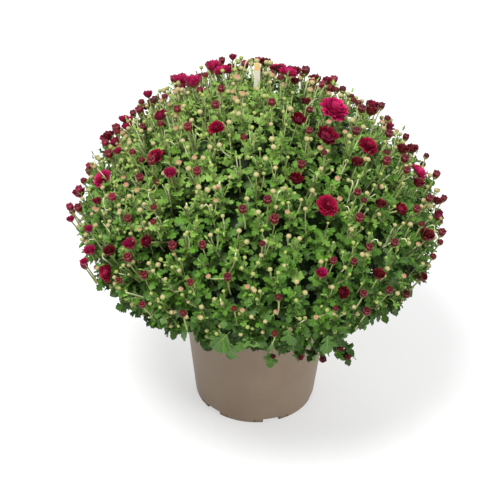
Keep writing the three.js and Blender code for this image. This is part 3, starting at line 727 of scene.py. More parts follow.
YOUNG_HALF = (
    (0.22, 0.10, 1), (0.31, 0.17, 1), (0.37, 0.05, 1), (0.46, 0.14, 2), (0.56, 0.22, 2),
    (0.63, 0.06, 2), (0.74, 0.12, 3), (0.83, 0.11, 3),
)
INNER_HALF = (
    (0.21, 0.19, 1), (0.35, 0.25, 1), (0.39, 0.10, 1), (0.55, 0.34, 2), (0.67, 0.12, 2),
    (0.85, 0.16, 3),
)
# Each leaf shape: its edge, how far it is folded, arched and waved, and whether it has a petiole.
LEAVES = {
    "leaf_0_lobed": (LOBED_HALF, 0.40, 0.26, 0.12, True),
    "leaf_1_broad": (BROAD_HALF, 0.30, 0.36, 0.15, True),
    "leaf_2_young": (YOUNG_HALF, 0.55, 0.14, 0.06, False),
    "leaf_3_inner": (INNER_HALF, 0.25, 0.28, 0.08, False),
}
MIDRIB = (0.14, 0.33, 0.55, 0.77)
PETIOLE_RADIUS = 0.017
BLADE_THICKNESS = 0.02


def leaf_shape(name, half, fold, arch, wave, stalked, collection):
    """One closed thin leaf of unit length, its upper side towards +Z."""
    shape = Shape(name)

    def lift(x, y):
        ripple = wave * math.sin(14.0 * x) * abs(y) * 2
        return fold * abs(y) - arch * x * x + 0.25 * arch * x - 0.7 * fold * y * y + ripple

    def corner(index, x, y, back):
        """A point with its place in the tile, a whole tile higher on the leaf's back."""
        return index, (0.06 + 0.88 * x, 0.5 + 1.05 * y + back)

    def blade(ribs, turn, back):
        """One side of the blade: triangles between the midrib's points and each half's edge."""
        middles = [(rib, along, 0.0) for rib, along in zip(ribs, MIDRIB)]
        for side in (1, -1):
            for first, second in zip(rims[side], rims[side][1:]):
                start, end = first[3], second[3]
                fans = [(middles[start], first[:3], second[:3])]
                fans += [(middles[rib], second[:3], middles[rib + 1]) for rib in range(start, end)]
                for triangle in fans:
                    if len({point for point, _, _ in triangle}) == 3:
                        corners = [corner(*point, back) for point in triangle]
                        shape.face(*corners[::turn * side])

    foot = shape.point(MIDRIB[0], 0.0, lift(MIDRIB[0], 0.0))
    tip = shape.point(1.0, 0.0, lift(1.0, 0.0))
    upper = [foot] + [shape.point(x, 0.0, lift(x, 0.0)) for x in MIDRIB[1:]]
    lower = [foot] + [shape.point(x, 0.0, lift(x, 0.0) - BLADE_THICKNESS) for x in MIDRIB[1:]]
    rims = {}
    for side in (1, -1):
        edge = [(shape.point(x, side * y, lift(x, side * y)), x, side * y, rib) for x, y, rib in half]
        rims[side] = [(foot, MIDRIB[0], 0.0, 0), *edge, (tip, 1.0, 0.0, len(MIDRIB) - 1)]
        shape.crease([point[0] for point in rims[side]])
    blade(upper, -1, 0)
    blade(lower, 1, 1)
    if stalked:
        petiole(shape, Vector((MIDRIB[0] + 0.03, 0, lift(MIDRIB[0], 0) - BLADE_THICKNESS)))
    shape.finish(collection)


def petiole(shape, end):
    """A leaf's own stalk: a three-sided closed rod from the origin, in the tile of its back."""
    axis = end.normalized()
    side = axis.orthogonal().normalized()
    low, high = [], []
    for ring, centre in ((low, Vector()), (high, end)):
        for i in range(3):
            out = side.copy()
            out.rotate(Matrix.Rotation(i * math.tau / 3, 3, axis))
            ring.append(shape.point(centre + out * PETIOLE_RADIUS))
    places = [(0.1, 1.4), (0.2, 1.4), (0.2, 1.6), (0.1, 1.6)]
    for i in range(3):
        j = (i + 1) % 3
        shape.face(*zip((low[i], low[j], high[j], high[i]), places))
    shape.face(*zip(low[::-1], places))
    shape.face(*zip(high, places))


# A petal's left edge, middle line and right edge in its tile, on its inner side and on its back.
INSIDE = (0.04, 0.25, 0.46)
BACK = (0.54, 0.75, 0.96)
# Along a petal from its foot, by its number of rows: how far, and its share of the full width.
PETAL_ROWS = {
    2: ((0, 0.55), (0.62, 1.0)),
    3: ((0, 0.5), (0.45, 0.95), (0.86, 0.85)),
    4: ((0, 0.45), (0.3, 0.8), (0.6, 1.0), (0.9, 0.8)),
}
# A petal's thickness in the middle, as a share of its width.
PETAL_THICKNESS = 0.08


def up_tile(share, calyx=False):
    """How high a share of a petal's length lies in its tile, a whole tile higher on a calyx."""
    return 0.04 + 0.92 * share + calyx


def petal(shape, azimuth, start, lean, length, width, rows, cup):
    """A closed thin strap that leaves the flower's axis and bends outwards from foot to tip.

    start is its foot's radius and height, lean its angle from the axis at foot and tip, and cup
    how far its edges rise.
    """
    out = Vector((math.cos(azimuth), math.sin(azimuth), 0))
    side = Vector((-out.y, out.x, 0))
    radius, height = start
    lefts, middles, rights, backs, ups = [], [], [], [], []
    before = 0.0
    for share, full in (*PETAL_ROWS[rows], (1.0, 0.0)):
        angle = lean[0] + (lean[1] - lean[0]) * share
        radius += math.sin(angle) * length * (share - before)
        height += math.cos(angle) * length * (share - before)
        before = share
        inward = UP * math.sin(angle) - out * math.cos(angle)
        centre = out * radius + UP * height
        ups.append(up_tile(share))
        if not full:
            tip = shape.point(centre)
            break
        span = width / 2 * full
        rise = inward * (cup * span)
        lefts.append(shape.point(centre - side * span + rise))
        rights.append(shape.point(centre + side * span + rise))
        middles.append(shape.point(centre))
        backs.append(shape.point(centre - inward * PETAL_THICKNESS * width))
    for middle, (left_u, mid_u, right_u), turn in ((middles, INSIDE, -1), (backs, BACK, 1)):
        for first, second, u1, u2 in ((lefts, middle, left_u, mid_u), (middle, rights, mid_u, right_u)):
            for i in range(rows):
                low, high = ups[i], ups[i + 1]
                corners = [(first[i], (u1, low)), (second[i], (u2, low))]
                if i < rows - 1:
                    corners += [(second[i + 1], (u2, high)), (first[i + 1], (u1, high))]
                else:
                    corners += [(tip, (mid_u, high))]
                shape.face(*corners[::turn])
    left_u, mid_u, right_u = BACK
    foot = (middles[0], rights[0], backs[0], lefts[0])
    shape.face(*((point, (u, ups[0])) for point, u in zip(foot, (mid_u, right_u, mid_u, left_u))))
    shape.crease(lefts + [tip] + rights[::-1])


def whorl(shape, petals, outer, inner=(), calyx=False):
    """A closed round form of petals that touch, each two columns wide.

    Its rings go up the petals' backs and down inside them. A ring has a radius, a height, how much
    further out and up a petal's middle stands than its edges, and how far up the petal it lies.
    The first and the last ring are points on the axis.
    """
    columns = 2 * petals
    rings = (*outer, *inner)
    sides = [BACK] * len(outer) + [INSIDE] * len(inner)
    lines = []
    for radius, height, flute, tooth, _ in rings:
        if radius == 0:
            lines.append([shape.point(0, 0, height)] * columns)
            continue
        line = []
        for i in range(columns):
            angle = math.tau * i / columns
            out = radius * (1 + flute * (1 if i % 2 else -1))
            line.append(shape.point(out * math.cos(angle), out * math.sin(angle), height + tooth * (i % 2)))
        lines.append(line)
    for low, high, first, second, side in zip(lines, lines[1:], rings, rings[1:], sides[1:]):
        left, middle, right = side
        v1, v2 = up_tile(first[4], calyx), up_tile(second[4], calyx)
        for i in range(columns):
            j = (i + 1) % columns
            u1, u2 = (middle, right) if i % 2 else (left, middle)
            corners = [(low[i], (u1, v1)), (low[j], (u2, v1)), (high[j], (u2, v2)), (high[i], (u1, v2))]
            if low[i] == low[j]:
                corners = [(low[i], (middle, v1)), *corners[2:]]
            elif high[i] == high[j]:
                corners = [*corners[:2], (high[i], (middle, v2))]
            shape.face(*corners)


def bowl(shape, petals, radius, height):
    """The green calyx under a bud or a flower head."""
    depth = 0.06
    outer = (
        (0, -depth, 0, 0, 0.0), (radius * 0.62, depth * 0.3, 0, 0, 0.3),
        (radius * 1.08, height * 0.6, 0.05, height * 0.4, 0.9),
    )
    whorl(shape, petals, outer, ((0, height * 0.35, 0, 0, 0.4),), calyx=True)


# The buds without loose petals, each about 1 across with its foot at the origin: their calyx's
# petals, radius and height, and their whorls, each with its petals, its outer and its inner rings.
WHORLED_BUDS = {
    "bud_0_tight": ((4, 0.46, 0.62), (
        (4, ((0, 0.0, 0, 0, 0.0), (0.36, 0.16, 0, 0, 0.25), (0.47, 0.44, 0.02, 0, 0.5),
             (0.36, 0.74, 0.03, 0, 0.78), (0, 0.88, 0, 0, 1.0))),
    )),
    "bud_1_cream": ((4, 0.49, 0.62), (
        (5, ((0, 0.0, 0, 0, 0.0), (0.38, 0.16, 0, 0, 0.25), (0.50, 0.46, 0.03, 0, 0.5),
             (0.38, 0.76, 0.05, 0, 0.8), (0, 0.82, 0, 0, 1.0))),
    )),
    "bud_2_showing": ((4, 0.45, 0.50), (
        (5, ((0, 0.0, 0, 0, 0.0), (0.36, 0.18, 0.02, 0, 0.25), (0.49, 0.52, 0.05, 0, 0.55),
             (0.36, 0.86, 0.10, 0.05, 0.85)), ((0, 0.88, 0, 0, 0.5),)),
    )),
    "bud_3_barrel": ((4, 0.36, 0.40), (
        (5, ((0, 0.0, 0, 0, 0.0), (0.30, 0.16, 0.03, 0, 0.2), (0.45, 0.58, 0.06, 0, 0.6),
             (0.44, 0.98, 0.08, 0.10, 1.0)), ((0.24, 0.88, 0, 0, 0.4), (0, 0.70, 0, 0, 0.1))),
        (3, ((0, 0.55, 0, 0, 0.2), (0.27, 0.90, 0.1, 0, 0.6), (0.17, 1.04, 0.15, 0.04, 0.9)),
         ((0, 1.02, 0, 0, 0.5),)),
    )),
}
# Rings of petals from the outside in: how many petals, their lean at foot and tip, and their
# length. In the bud that opens each ring also has its foot's radius and the rows along its petals.
CUP_RINGS = (
    (9, (1.25, 0.32), 0.86, 0.10, 3), (8, (0.95, 0.12), 0.82, 0.08, 2), (6, (0.55, -0.08), 0.76, 0.05, 2),
)
# The flower heads from a cup to wide open: how much wider than the narrowest their petals are, and
# their rings.
FLOWERS = {
    "flower_0_cup": (1.5, (
        (11, (1.35, 0.42), 0.70), (11, (1.1, 0.22), 0.70), (9, (0.8, 0.02), 0.66), (7, (0.45, -0.18), 0.60),
    )),
    "flower_1_half": (1.3, (
        (14, (1.6, 0.95), 0.58), (13, (1.35, 0.7), 0.56), (12, (1.05, 0.42), 0.52), (10, (0.75, 0.12), 0.46),
        (8, (0.4, -0.2), 0.40),
    )),
    "flower_2_open": (1.08, (
        (16, (1.75, 1.45), 0.52), (16, (1.6, 1.2), 0.50), (14, (1.35, 0.9), 0.47), (13, (1.1, 0.55), 0.42),
        (11, (0.75, 0.2), 0.36), (8, (0.4, -0.2), 0.29),
    )),
    "flower_3_wide": (1.08, (
        (15, (1.75, 1.35), 0.52), (15, (1.5, 1.1), 0.53), (14, (1.25, 0.85), 0.53), (13, (1.0, 0.6), 0.51),
        (11, (0.72, 0.35), 0.48), (8, (0.45, 0.1), 0.44), (5, (0.2, -0.1), 0.38),
    )),
}


def bud_shapes(collection, rng):
    """Five buds, from a tight one to a cup of petals."""
    for name, (calyx, whorls) in WHORLED_BUDS.items():
        bud = Shape(name)
        for plan in whorls:
            whorl(bud, *plan)
        bowl(bud, *calyx)
        bud.finish(collection)
    cup = Shape("bud_4_cup")
    for ring, (count, lean, length, foot, rows) in enumerate(CUP_RINGS):
        for i in range(count):
            azimuth = math.tau * (i + ring * 0.5 + rng.uniform(-0.2, 0.2)) / count
            petal(cup, azimuth, (foot, 0.03), lean, length * rng.uniform(0.9, 1.08), 0.42, rows, 0.35)
    bowl(cup, 5, 0.22, 0.22)
    cup.finish(collection)


def flower_shapes(collection, rng):
    """Four flower heads, each about 1 across with its foot at the origin."""
    for name, (wider, rings) in FLOWERS.items():
        head = Shape(name)
        for ring, (count, lean, length) in enumerate(rings):
            # Each ring's foot stands further in and higher than the last one's.
            start = (0.085 - 0.010 * ring, 0.03 + 0.014 * ring)
            for i in range(count):
                azimuth = math.tau * (i + ring * 0.5 + rng.uniform(-0.25, 0.25)) / count
                tilt = rng.uniform(-0.12, 0.12)
                width = (0.20 + 0.03 * rng.random()) * wider
                leant = (lean[0] + tilt, lean[1] + tilt * 1.5)
                petal(head, azimuth, start, leant, length * rng.uniform(0.88, 1.06), width, 4, 0.5)
        bowl(head, 8, 0.15, 0.14)
        head.finish(collection)


# ---- growing guides


class Growth:
    """Guides for all that one spray carries."""

    def __init__(self):
        self.leaves = []
        self.buds = []
        self.lines = []


def guide_points(name, rows):
    """Loose points, each with the turn, size, shape and tile of the piece that stands on it."""
    mesh = bpy.data.meshes.new(name)
    mesh.from_pydata([tuple(row[0]) for row in rows], [], [])
    columns = {
        "turn": ("QUATERNION", "value", np.float32, [tuple(row[1]) for row in rows]),
        "size": ("FLOAT", "value", np.float32, [row[2] for row in rows]),
        "shape": ("INT", "value", np.int32, [row[3] for row in rows]),
        "tile": ("FLOAT_VECTOR", "vector", np.float32, [(*row[4], 0.0) for row in rows]),
    }
    for key, (kind, field, number, values) in columns.items():
        layer = mesh.attributes.new(key, kind, "POINT")
        layer.data.foreach_set(field, np.array(values, number).ravel())
    return linked(name, mesh)


def guide_lines(name, lines):
    """Loose polylines, each with its thickness and its tile."""
    points, edges, thick, tiles = [], [], [], []
    for line, radii, tile in lines:
        first = len(points)
        points.extend(tuple(point) for point in line)
        thick.extend(radii)
        tiles.extend([(*tile, 0.0)] * len(line))
        edges.extend((first + i, first + i + 1) for i in range(len(line) - 1))
    mesh = bpy.data.meshes.new(name)
    mesh.from_pydata(points, edges, [])
    mesh.attributes.new("thick", "FLOAT", "POINT").data.foreach_set("value", thick)
    mesh.attributes.new("tile", "FLOAT_VECTOR", "POINT").data.foreach_set("vector", np.ravel(tiles))
    return linked(name, mesh)


def bezier(first, bend, last, steps):
    """Points along a curve that starts towards a bend and ends away from it."""
    points = []
    for i in range(steps + 1):
        t = i / steps
        points.append(first * (1 - t) ** 2 + bend * 2 * t * (1 - t) + last * t * t)
    return points


def ramp(value, start, width):
    """0 up to a start, and from there up to 1 over a width."""
    return min(1.0, max(0.0, (value - start) / width))


def node_corners(name):
    """The corners of a node's solid."""
    mesh = frame["nodes"][name].data
    places = np.empty(len(mesh.vertices) * 3, np.float32)
    mesh.vertices.foreach_get("co", places)
    return places.reshape(-1, 3).astype(float)


class Sprays:
    """Each spray's direction from the fan point and its foot in the soil, from its solid."""

    def __init__(self):
        self.names = sorted(name for name in frame["nodes"] if name.startswith("spray_"))
        self.directions = []
        self.feet = []
        for name in self.names:
            corners = node_corners(name)
            out = corners - np.array(Mound.fan)
            length = np.linalg.norm(out, axis=1)
            far = length > 0.6 * length.max()
            self.directions.append(Vector((out[far] / length[far, None]).mean(0)).normalized())
            low = corners[corners[:, 2] < corners[:, 2].min() + 2 * MM]
            self.feet.append(Vector(low.mean(0)))
        self.rows = np.array(self.directions)

    def nearest(self, point):
        """The spray whose direction a point lies nearest to."""
        return self.names[int(np.argmax(self.rows @ np.array((point - Mound.fan).normalized())))]


Head = namedtuple("Head", "name middle axis size magenta")


def flower_heads(mound):
    """Each flower head's place, axis and size, from its solid, and whether it is magenta."""
    slots = {part["node"]: part["material_slot"] for part in frame["record"]["subparts"]}
    heads = []
    for name in sorted(name for name in frame["nodes"] if name.startswith("bloom_")):
        corners = node_corners(name)
        middle = Vector((corners.max(0) + corners.min(0)) / 2)
        size = 2 * np.linalg.norm(corners - np.array(middle), axis=1).max()
        azimuth = math.atan2(middle.x, -middle.y)
        spans = [(mound.place(turn, azimuth, 8 * MM)[0] - middle).length for turn in mound.turns[1:]]
        turn = float(mound.turns[1 + int(np.argmin(spans))])
        axis = mound.place(turn, azimuth)[1].lerp(UP, 0.25).normalized()
        heads.append(Head(name, middle, axis, size, slots[name] == "magenta_petals"))
    return heads


# Leaves that hang at the foliage's lower edge: azimuth, radius and height of the foot, how far the
# leaf swings sideways in degrees, and its length, in millimetres.
HANGING_LEAVES = (
    (-8, 225, 265, -35, 44), (-10, 210, 245, 15, 38), (-4, 220, 260, 30, 30), (2, 210, 255, -10, 28),
    (6, 210, 250, -10, 28), (14, 210, 260, 10, 34), (23, 210, 245, 5, 36), (18, 205, 235, -20, 26),
    (-18, 215, 260, -20, 34), (-22, 210, 255, -25, 34), (-28, 210, 250, -30, 34),
    (28, 205, 250, 15, 32), (32, 210, 270, 20, 38), (9, 220, 270, 10, 32), (-13, 210, 255, -10, 34),
    (11, 205, 240, 20, 24), (26, 200, 230, -15, 24), (31, 200, 240, 10, 26), (-5, 205, 240, -15, 24),
    (-48, 150, 200, 10, 26), (70, 150, 195, -20, 28), (112, 140, 190, -20, 30), (150, 150, 195, 20, 36),
    (158, 140, 190, -10, 32), (196, 145, 190, -25, 34), (210, 150, 195, 10, 38),
    (219, 140, 190, -10, 32), (262, 150, 195, -15, 28),
)
# Buds on sprigs that droop past that edge: azimuth, radius, height and size in millimetres.
DROOPING_BUDS = (
    (36, 185, 172, 8.5), (32, 187, 192, 8.0), (25, 185, 182, 9.5), (16, 187, 194, 8.0), (6, 187, 200, 6.5),
    (152, 160, 160, 8.5), (161, 150, 158, 7.5), (214, 155, 158, 8.5), (226, 160, 166, 7.0),
    (268, 160, 166, 7.5),
)
# How much higher such a sprig begins, where along it its leaves stand, and the leaves' length, in
# millimetres.
SPRIG_RISE = 26
SPRIG_LEAVES = (0.25, 0.42, 0.58, 0.74, 0.88)
SPRIG_LEAF = (14, 26)

# The largest of the coloured buds on the plant's front: azimuth in degrees, height and size in
# millimetres.
LARGE_BUDS = (
    (-146, 450, 18), (-130, 430, 17), (-106, 460, 18), (-93, 300, 15), (-62, 295, 14), (-52, 315, 13),
    (-45, 335, 14), (-42, 410, 13), (39, 315, 14), (52, 375, 13), (56, 415, 14), (60, 270, 13),
    (66, 315, 17), (80, 355, 14), (91, 380, 14), (108, 410, 14), (108, 345, 15), (142, 435, 14),
    (146, 425, 14), (163, 445, 14),
)
# The smaller ones: most stand half-way up the mound, and near the crown they stand all round. Turns
# from the crown down and azimuths are in degrees, sizes in millimetres.
SMALL_BUDS_TURN = 58
SMALL_BUDS_SPREAD = 50
LEAST_TURN = 12.0
CROWN_TURN = 44
CROWN_AZIMUTH = 172
FRONT_AZIMUTH = 118
SMALL_BUD = (8, 11.5)
# How far the small ones stray from the rule, and a power below 1 that takes them to the sides.
STRAY_AZIMUTH = 9
STRAY_TURN = 5
SIDE_POWER = 0.8
# How deep under the outline both stand.
SMALL_BUD_DEPTH = (-8, 5)
LARGE_BUD_DEPTH = 2
# From these sizes on, in millimetres, a coloured bud is a barrel, and then a cup.
BARREL_SIZE = 9
CUP_SIZE = 13
# Past this azimuth some barrels have opened to cups too.
SIDE_AZIMUTH = 60
SIDE_CUPS = 0.35

# The buds' shapes, by their number in the collection.
TIGHT, CREAM, SHOWING, BARREL, CUP = range(5)
# For each stage of a bud: its share among the closed or the red ones, its shape, its size in
# millimetres, the row of its tile and the columns that it draws from.
CLOSED_STAGES = (
    (0.43, TIGHT, (4.0, 6.4), BUD_ROW, (0, 3)),
    (0.46, CREAM, (5.2, 7.5), BUD_ROW, (3, 6)),
    (0.11, CREAM, (6.4, 7.8), BUD_ROW, (6, 8)),
)
RED_STAGES = (
    (0.30, SHOWING, (7.2, 9.2), PETAL_ROW, (0, 4)),
    (0.56, BARREL, (9.0, 12.0), PETAL_ROW, (0, 6)),
    (0.14, CUP, (12.0, 15.0), PETAL_ROW, (1, 8)),
)
# The most buds that a shoot carries.
MOST_BUDS = 6

# The leaves' shapes, by their number in the collection, and the level from which leaves are inner
# ones.
LOBED, BROAD, YOUNG, INNER = range(4)
INNER_LEVEL = 2
# The age of the leaves that hang and of those on drooping sprigs, where 1 is the oldest.
HANGING_AGE = 0.66
SPRIG_LEAF_AGE = 0.8

# Where the skirt over the pot begins, as a share of the mound's area from the crown down.
SKIRT_FROM = 0.82
# How much deeper the shoots stand at the crown's left and at the skirt's sides.
LEFT_CROWN_DEPTH = 6 * MM
SIDE_SKIRT_DEPTH = 5 * MM
# How far a shoot is lowered that would hide the label.
LABEL_DIP = 12 * MM
# A shoot: how far down from its tip its leaves go, its leaves' angle from its axis at the tip, how
# much more it is at the foot, how far it strays, and where below its tip its stem has its points.
SHOOT_LENGTH = 0.050
TIP_ANGLE, MORE_ANGLE, STRAY_ANGLE = 24, 58, 14
STEM_POINTS = (0.062, 0.040, 0.020)
STEM_RADII = (1.5 * MM, 0.9 * MM)
# How far shoots and their leaves differ from the usual size.
SHOOT_SIZES = (0.88, 1.14)
LEAF_SIZES = (0.78, 1.16)
# Small leaves on the flower stalks and on thin stalks above the shoot, in millimetres.
STALK_LEAF = (7, 12)
TIP_LEAF = (6, 10)
# A bud's stalk: how far below the shoot's tip it leaves the stem, how high the middle one and the
# others reach, as a share of the foliage's depth, and how far they stand apart.
FORKS = (0.006, 0.032)
MIDDLE_REACH, SIDE_REACH = (0.8, 1.3), (0.25, 1.15)
MIDDLE_SPREAD, SIDE_SPREAD = 0.003, (0.006, 0.017)
# How many of the pale stalks nod, and how far their bend stands above and beside the bud.
NODDING = 0.4
NOD_ABOVE, NOD_ASIDE = 11, 5

# Where the stems over the soil turn outwards, and how far out and up from the fan point they are
# bare.
STEM_TURN = 0.142
BARE_RADIUS = 0.060
BARE_RISE = 0.062

# The side that the plant is mostly seen from, where nothing may hide a large head or the label.
VIEWED_FROM = Vector((0, -0.82, 0.57))
LARGE_HEAD = 0.020
HEAD_GAP = 6 * MM
LABEL_GAP = 0.010
# In front of this depth most of the coloured buds are those that have their own places.
PLACED_UP_TO = 0.05
# Where more of the buds have coloured than elsewhere.
WARM_SIDE = math.radians(105)


class Grower:
    """Draws every shoot, with its leaves, stalks and buds, and gives it to its spray."""

    def __init__(self, mound, sprays, heads):
        self.made = settings("growth")
        self.rng = np.random.default_rng(self.made.seed)
        self.mound = mound
        self.sprays = sprays
        self.heads = heads
        self.growth = {name: Growth() for name in sprays.names}
        low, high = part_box("plant_label")
        self.label = Vector(((low.x + high.x) / 2, (low.y + high.y) / 2, high.z - 3 * MM))
        self.placed = []
        self.place_coloured()

    def owner(self, point):
        """The growth of the spray that a point belongs to."""
        return self.growth[self.sprays.nearest(point)]

    def jog(self, amount):
        """A small random step in any direction."""
        return Vector(self.rng.uniform(-amount, amount, 3))

    def leftward(self, point):
        """0 at the middle and on the right, and 1 at the mound's left edge."""
        return max(0.0, -point.x / self.mound.radius)

    def line(self, spray, points, thick, thin, column):
        """A stalk that grows thinner from its first point to its last."""
        radii = [float(radius) for radius in np.linspace(thick, thin, len(points))]
        spray.lines.append((points, radii, (int(column), STEM_ROW)))

    def leaf(self, spray, root, along, facing, size, kind, age, level):
        """A leaf on its root, in the tile of its age and of how deep in the plant it lies."""
        facing = (facing - along * facing.dot(along)).normalized()
        column = min(TILES - 1, max(0, round(age * (TILES - 1) + self.rng.normal(0, 1.1))))
        spray.leaves.append((root, basis(along, facing), size, kind, (column, level)))

    def bud(self, spray, end, facing, size, shape, tile):
        """A bud on a stalk's end, spun at random."""
        turn = standing(facing.normalized(), self.rng.uniform(0, math.tau))
        spray.buds.append((end, turn, size, shape, tile))

    def full_leaf(self):
        return BROAD if self.rng.random() < 0.4 else LOBED

    def shoots(self):
        """Shoots all over the mound, upright at the crown and drooping a little at the skirt."""
        rng, count = self.rng, self.made.shoots
        for i in range(count):
            share = (i + 0.5) / count
            turn = self.mound.turn_at(min(0.995, share + rng.uniform(-0.3, 0.3) / count))
            azimuth = i * GOLDEN_ANGLE + rng.uniform(-0.06, 0.06)
            depth = self.mound.leaf_depth_at(turn) + rng.uniform(-4, 6) * MM
            depth += LEFT_CROWN_DEPTH * max(0.0, -math.sin(azimuth)) * max(0.0, 1 - 1.6 * share)
            depth += SIDE_SKIRT_DEPTH * abs(math.sin(azimuth)) * ramp(share, 0.72, 0.12)
            tip, outward = self.mound.place(turn, azimuth, depth)
            if self.before_label(tip, LABEL_GAP * 1.6):
                tip -= UP * LABEL_DIP
            lean = 0.45 - 0.5 * ramp(share, SKIRT_FROM, 0.18)
            axis = outward.lerp(UP if lean > 0 else -UP, abs(lean)).normalized()
            self.shoot(tip, axis, outward, share, self.made.leaves + 4 - int(9 * share))

    def shoot(self, tip, axis, outward, share, count):
        """One shoot: leaves in a spiral down from its tip, its stem, and its flower stalks."""
        rng = self.rng
        axis = (axis + self.jog(0.2)).normalized()
        first = axis.orthogonal().normalized()
        second = axis.cross(first)
        spray = self.owner(tip)
        spin = rng.uniform(0, math.tau)
        full = self.made.leaf_top + (self.made.leaf_skirt - self.made.leaf_top) * share ** 2.2
        full *= rng.uniform(*SHOOT_SIZES)
        light = (outward * 0.6 + UP * 0.8).normalized()
        skirt = ramp(share, SKIRT_FROM, 0.18)
        height = ramp(tip.z, Mound.waist, 0.12)
        # Lower down, leaves are drawn older and so darker, partly for their age and partly as painted shade
        # under the overhang; higher on the left they are drawn lighter.
        age = 0.05 + 0.95 * share ** 0.8 - self.leftward(tip) * (0.08 + 0.50 * height)
        for k in range(count):
            t = k / (count - 1)
            theta = spin + k * GOLDEN_ANGLE + rng.uniform(-0.25, 0.25)
            side = first * math.cos(theta) + second * math.sin(theta)
            root = tip - axis * (0.001 + SHOOT_LENGTH * t ** 1.15)
            stray = rng.uniform(-STRAY_ANGLE, STRAY_ANGLE)
            angle = math.radians(TIP_ANGLE + MORE_ANGLE * t ** 0.7 + stray)
            along = axis * math.cos(angle) + side * math.sin(angle)
            along = (along - UP * (0.05 + 0.22 * t + 0.3 * skirt) * rng.uniform(0.3, 1.5)).normalized()
            facing = axis * 0.5 + light * 0.75 + self.jog(0.75)
            size = full * (0.45 + 0.55 * min(1.0, t * 3.4)) * rng.uniform(*LEAF_SIZES)
            level = min(LEAF_LEVELS - 1, max(0, int(t * LEAF_LEVELS * 0.96 + rng.uniform(-0.3, 0.3))))
            kind = INNER if level >= INNER_LEVEL else YOUNG if t < 0.16 else self.full_leaf()
            self.leaf(spray, root, along, facing, size, kind, age + 0.15 * t, level)
        stem = [tip - axis * down + self.jog(1.5 * MM) for down in STEM_POINTS] + [tip]
        self.line(spray, stem, *STEM_RADII, rng.integers(1, 5))
        self.stalks(spray, tip, axis, first, second, share)

    def stalks(self, spray, tip, axis, first, second, share):
        """Forked flower stalks that stand up out of the shoot and each end in a bud."""
        rng, thin = self.rng, self.made.stalk
        rise = (tip.z - Mound.waist) / 0.18
        lift = self.mound.leaf_depth_at(math.pi / 2 * min(1.0, 1.3 * share))
        warm = ramp(tip.z, Mound.waist, 0.18)
        sunny = warm * max(0.0, math.cos(math.atan2(tip.x, -tip.y) - WARM_SIDE))
        aside = min(1.0, max(0.0, 0.25 + (1.6 * tip.y + 1.2 * abs(tip.x)) / self.mound.radius))
        leftward = self.leftward(tip)
        budding = 1.1 * self.made.buds + max(0.0, rise - 0.5) + 1.6 * warm * max(0.0, aside - 0.5)
        budding *= 1 + 0.8 * leftward
        count = 1 + rng.poisson(budding * (1 - 0.35 * sunny - 0.5 * max(0.0, share - 0.45)))
        if share > 0.9:
            count = int(rng.random() < 0.6)
        spin = rng.uniform(0, math.tau)
        spring = (axis * 0.62 + UP * 0.62).normalized() if share < 0.8 else axis
        for _ in range(rng.poisson(3.2 * warm * (0.35 + 0.65 * leftward))):
            self.tip_leaf(spray, tip, axis, spring, lift)
        for k in range(min(count, MOST_BUDS)):
            theta = spin + k * GOLDEN_ANGLE
            side = first * math.cos(theta) + second * math.sin(theta)
            root = tip - axis * rng.uniform(*FORKS)
            reach = rng.uniform(*(SIDE_REACH if k else MIDDLE_REACH))
            spread = rng.uniform(*SIDE_SPREAD) if k else MIDDLE_SPREAD
            end = tip + spring * (lift * reach - 0.004) + side * spread + self.jog(1.5 * MM)
            end = self.mound.held(end, 0.985 + 0.02 * max(0.0, 1 - 4 * share) + rng.uniform(-0.02, 0.01))
            if self.in_the_way(end):
                continue
            red = 0.12 + warm * (0.09 + 0.36 * aside) + 0.12 * sunny + 0.05 * (reach > 0.9)
            red *= 0.1 if tip.y < PLACED_UP_TO else 1.0
            stages = RED_STAGES if rng.random() < red else CLOSED_STAGES
            draw = rng.choice(len(stages), p=[stage[0] for stage in stages])
            _, shape, (small, large), row, (low, high) = stages[draw]
            size = rng.uniform(small, large) * (0.86 + 0.14 * warm) * MM
            bend = root.lerp(end, 0.6) + side * spread * 0.35 + self.jog(1.5 * MM)
            pale = rng.random() < 0.15 + 1.1 * leftward * warm
            if pale and rng.random() < NODDING:
                bend = end + spring * NOD_ABOVE * MM - side * NOD_ASIDE * MM
            line = bezier(root, bend, end, 4)
            thick = thin * (0.8 + 0.035 * size / MM)
            self.line(spray, line, thick * 1.35, thick, 0 if pale else rng.integers(1, 5))
            facing = (line[-1] - line[-2]).normalized().lerp(UP, 0.45)
            self.bud(spray, end, facing, size, shape, (int(rng.integers(low, high)), row))
            for _ in range(rng.poisson(0.8 + 0.6 * warm)):
                along = (self.jog(0.9) + axis * 1.2).normalized()
                root = line[1].lerp(line[3], rng.random())
                self.leaf(spray, root, along, axis, rng.uniform(*STALK_LEAF) * MM, YOUNG, 0.3 * share, 0)

    def tip_leaf(self, spray, tip, axis, spring, lift):
        """A small young leaf on a thin stalk of its own, above the shoot's tip."""
        rng, thin = self.rng, self.made.stalk
        side = self.jog(1.0).normalized()
        root = tip - axis * rng.uniform(0.004, 0.024) + side * 2 * MM
        end = tip + spring * lift * rng.uniform(0.1, 0.75) + side * rng.uniform(5, 14) * MM
        line = bezier(root, root.lerp(end, 0.5) + spring * 4 * MM, end, 3)
        self.line(spray, line, thin * 1.1, thin * 0.8, rng.integers(0, 3))
        self.leaf(spray, end, (side + spring).normalized(), axis, rng.uniform(*TIP_LEAF) * MM, YOUNG, 0.1, 0)

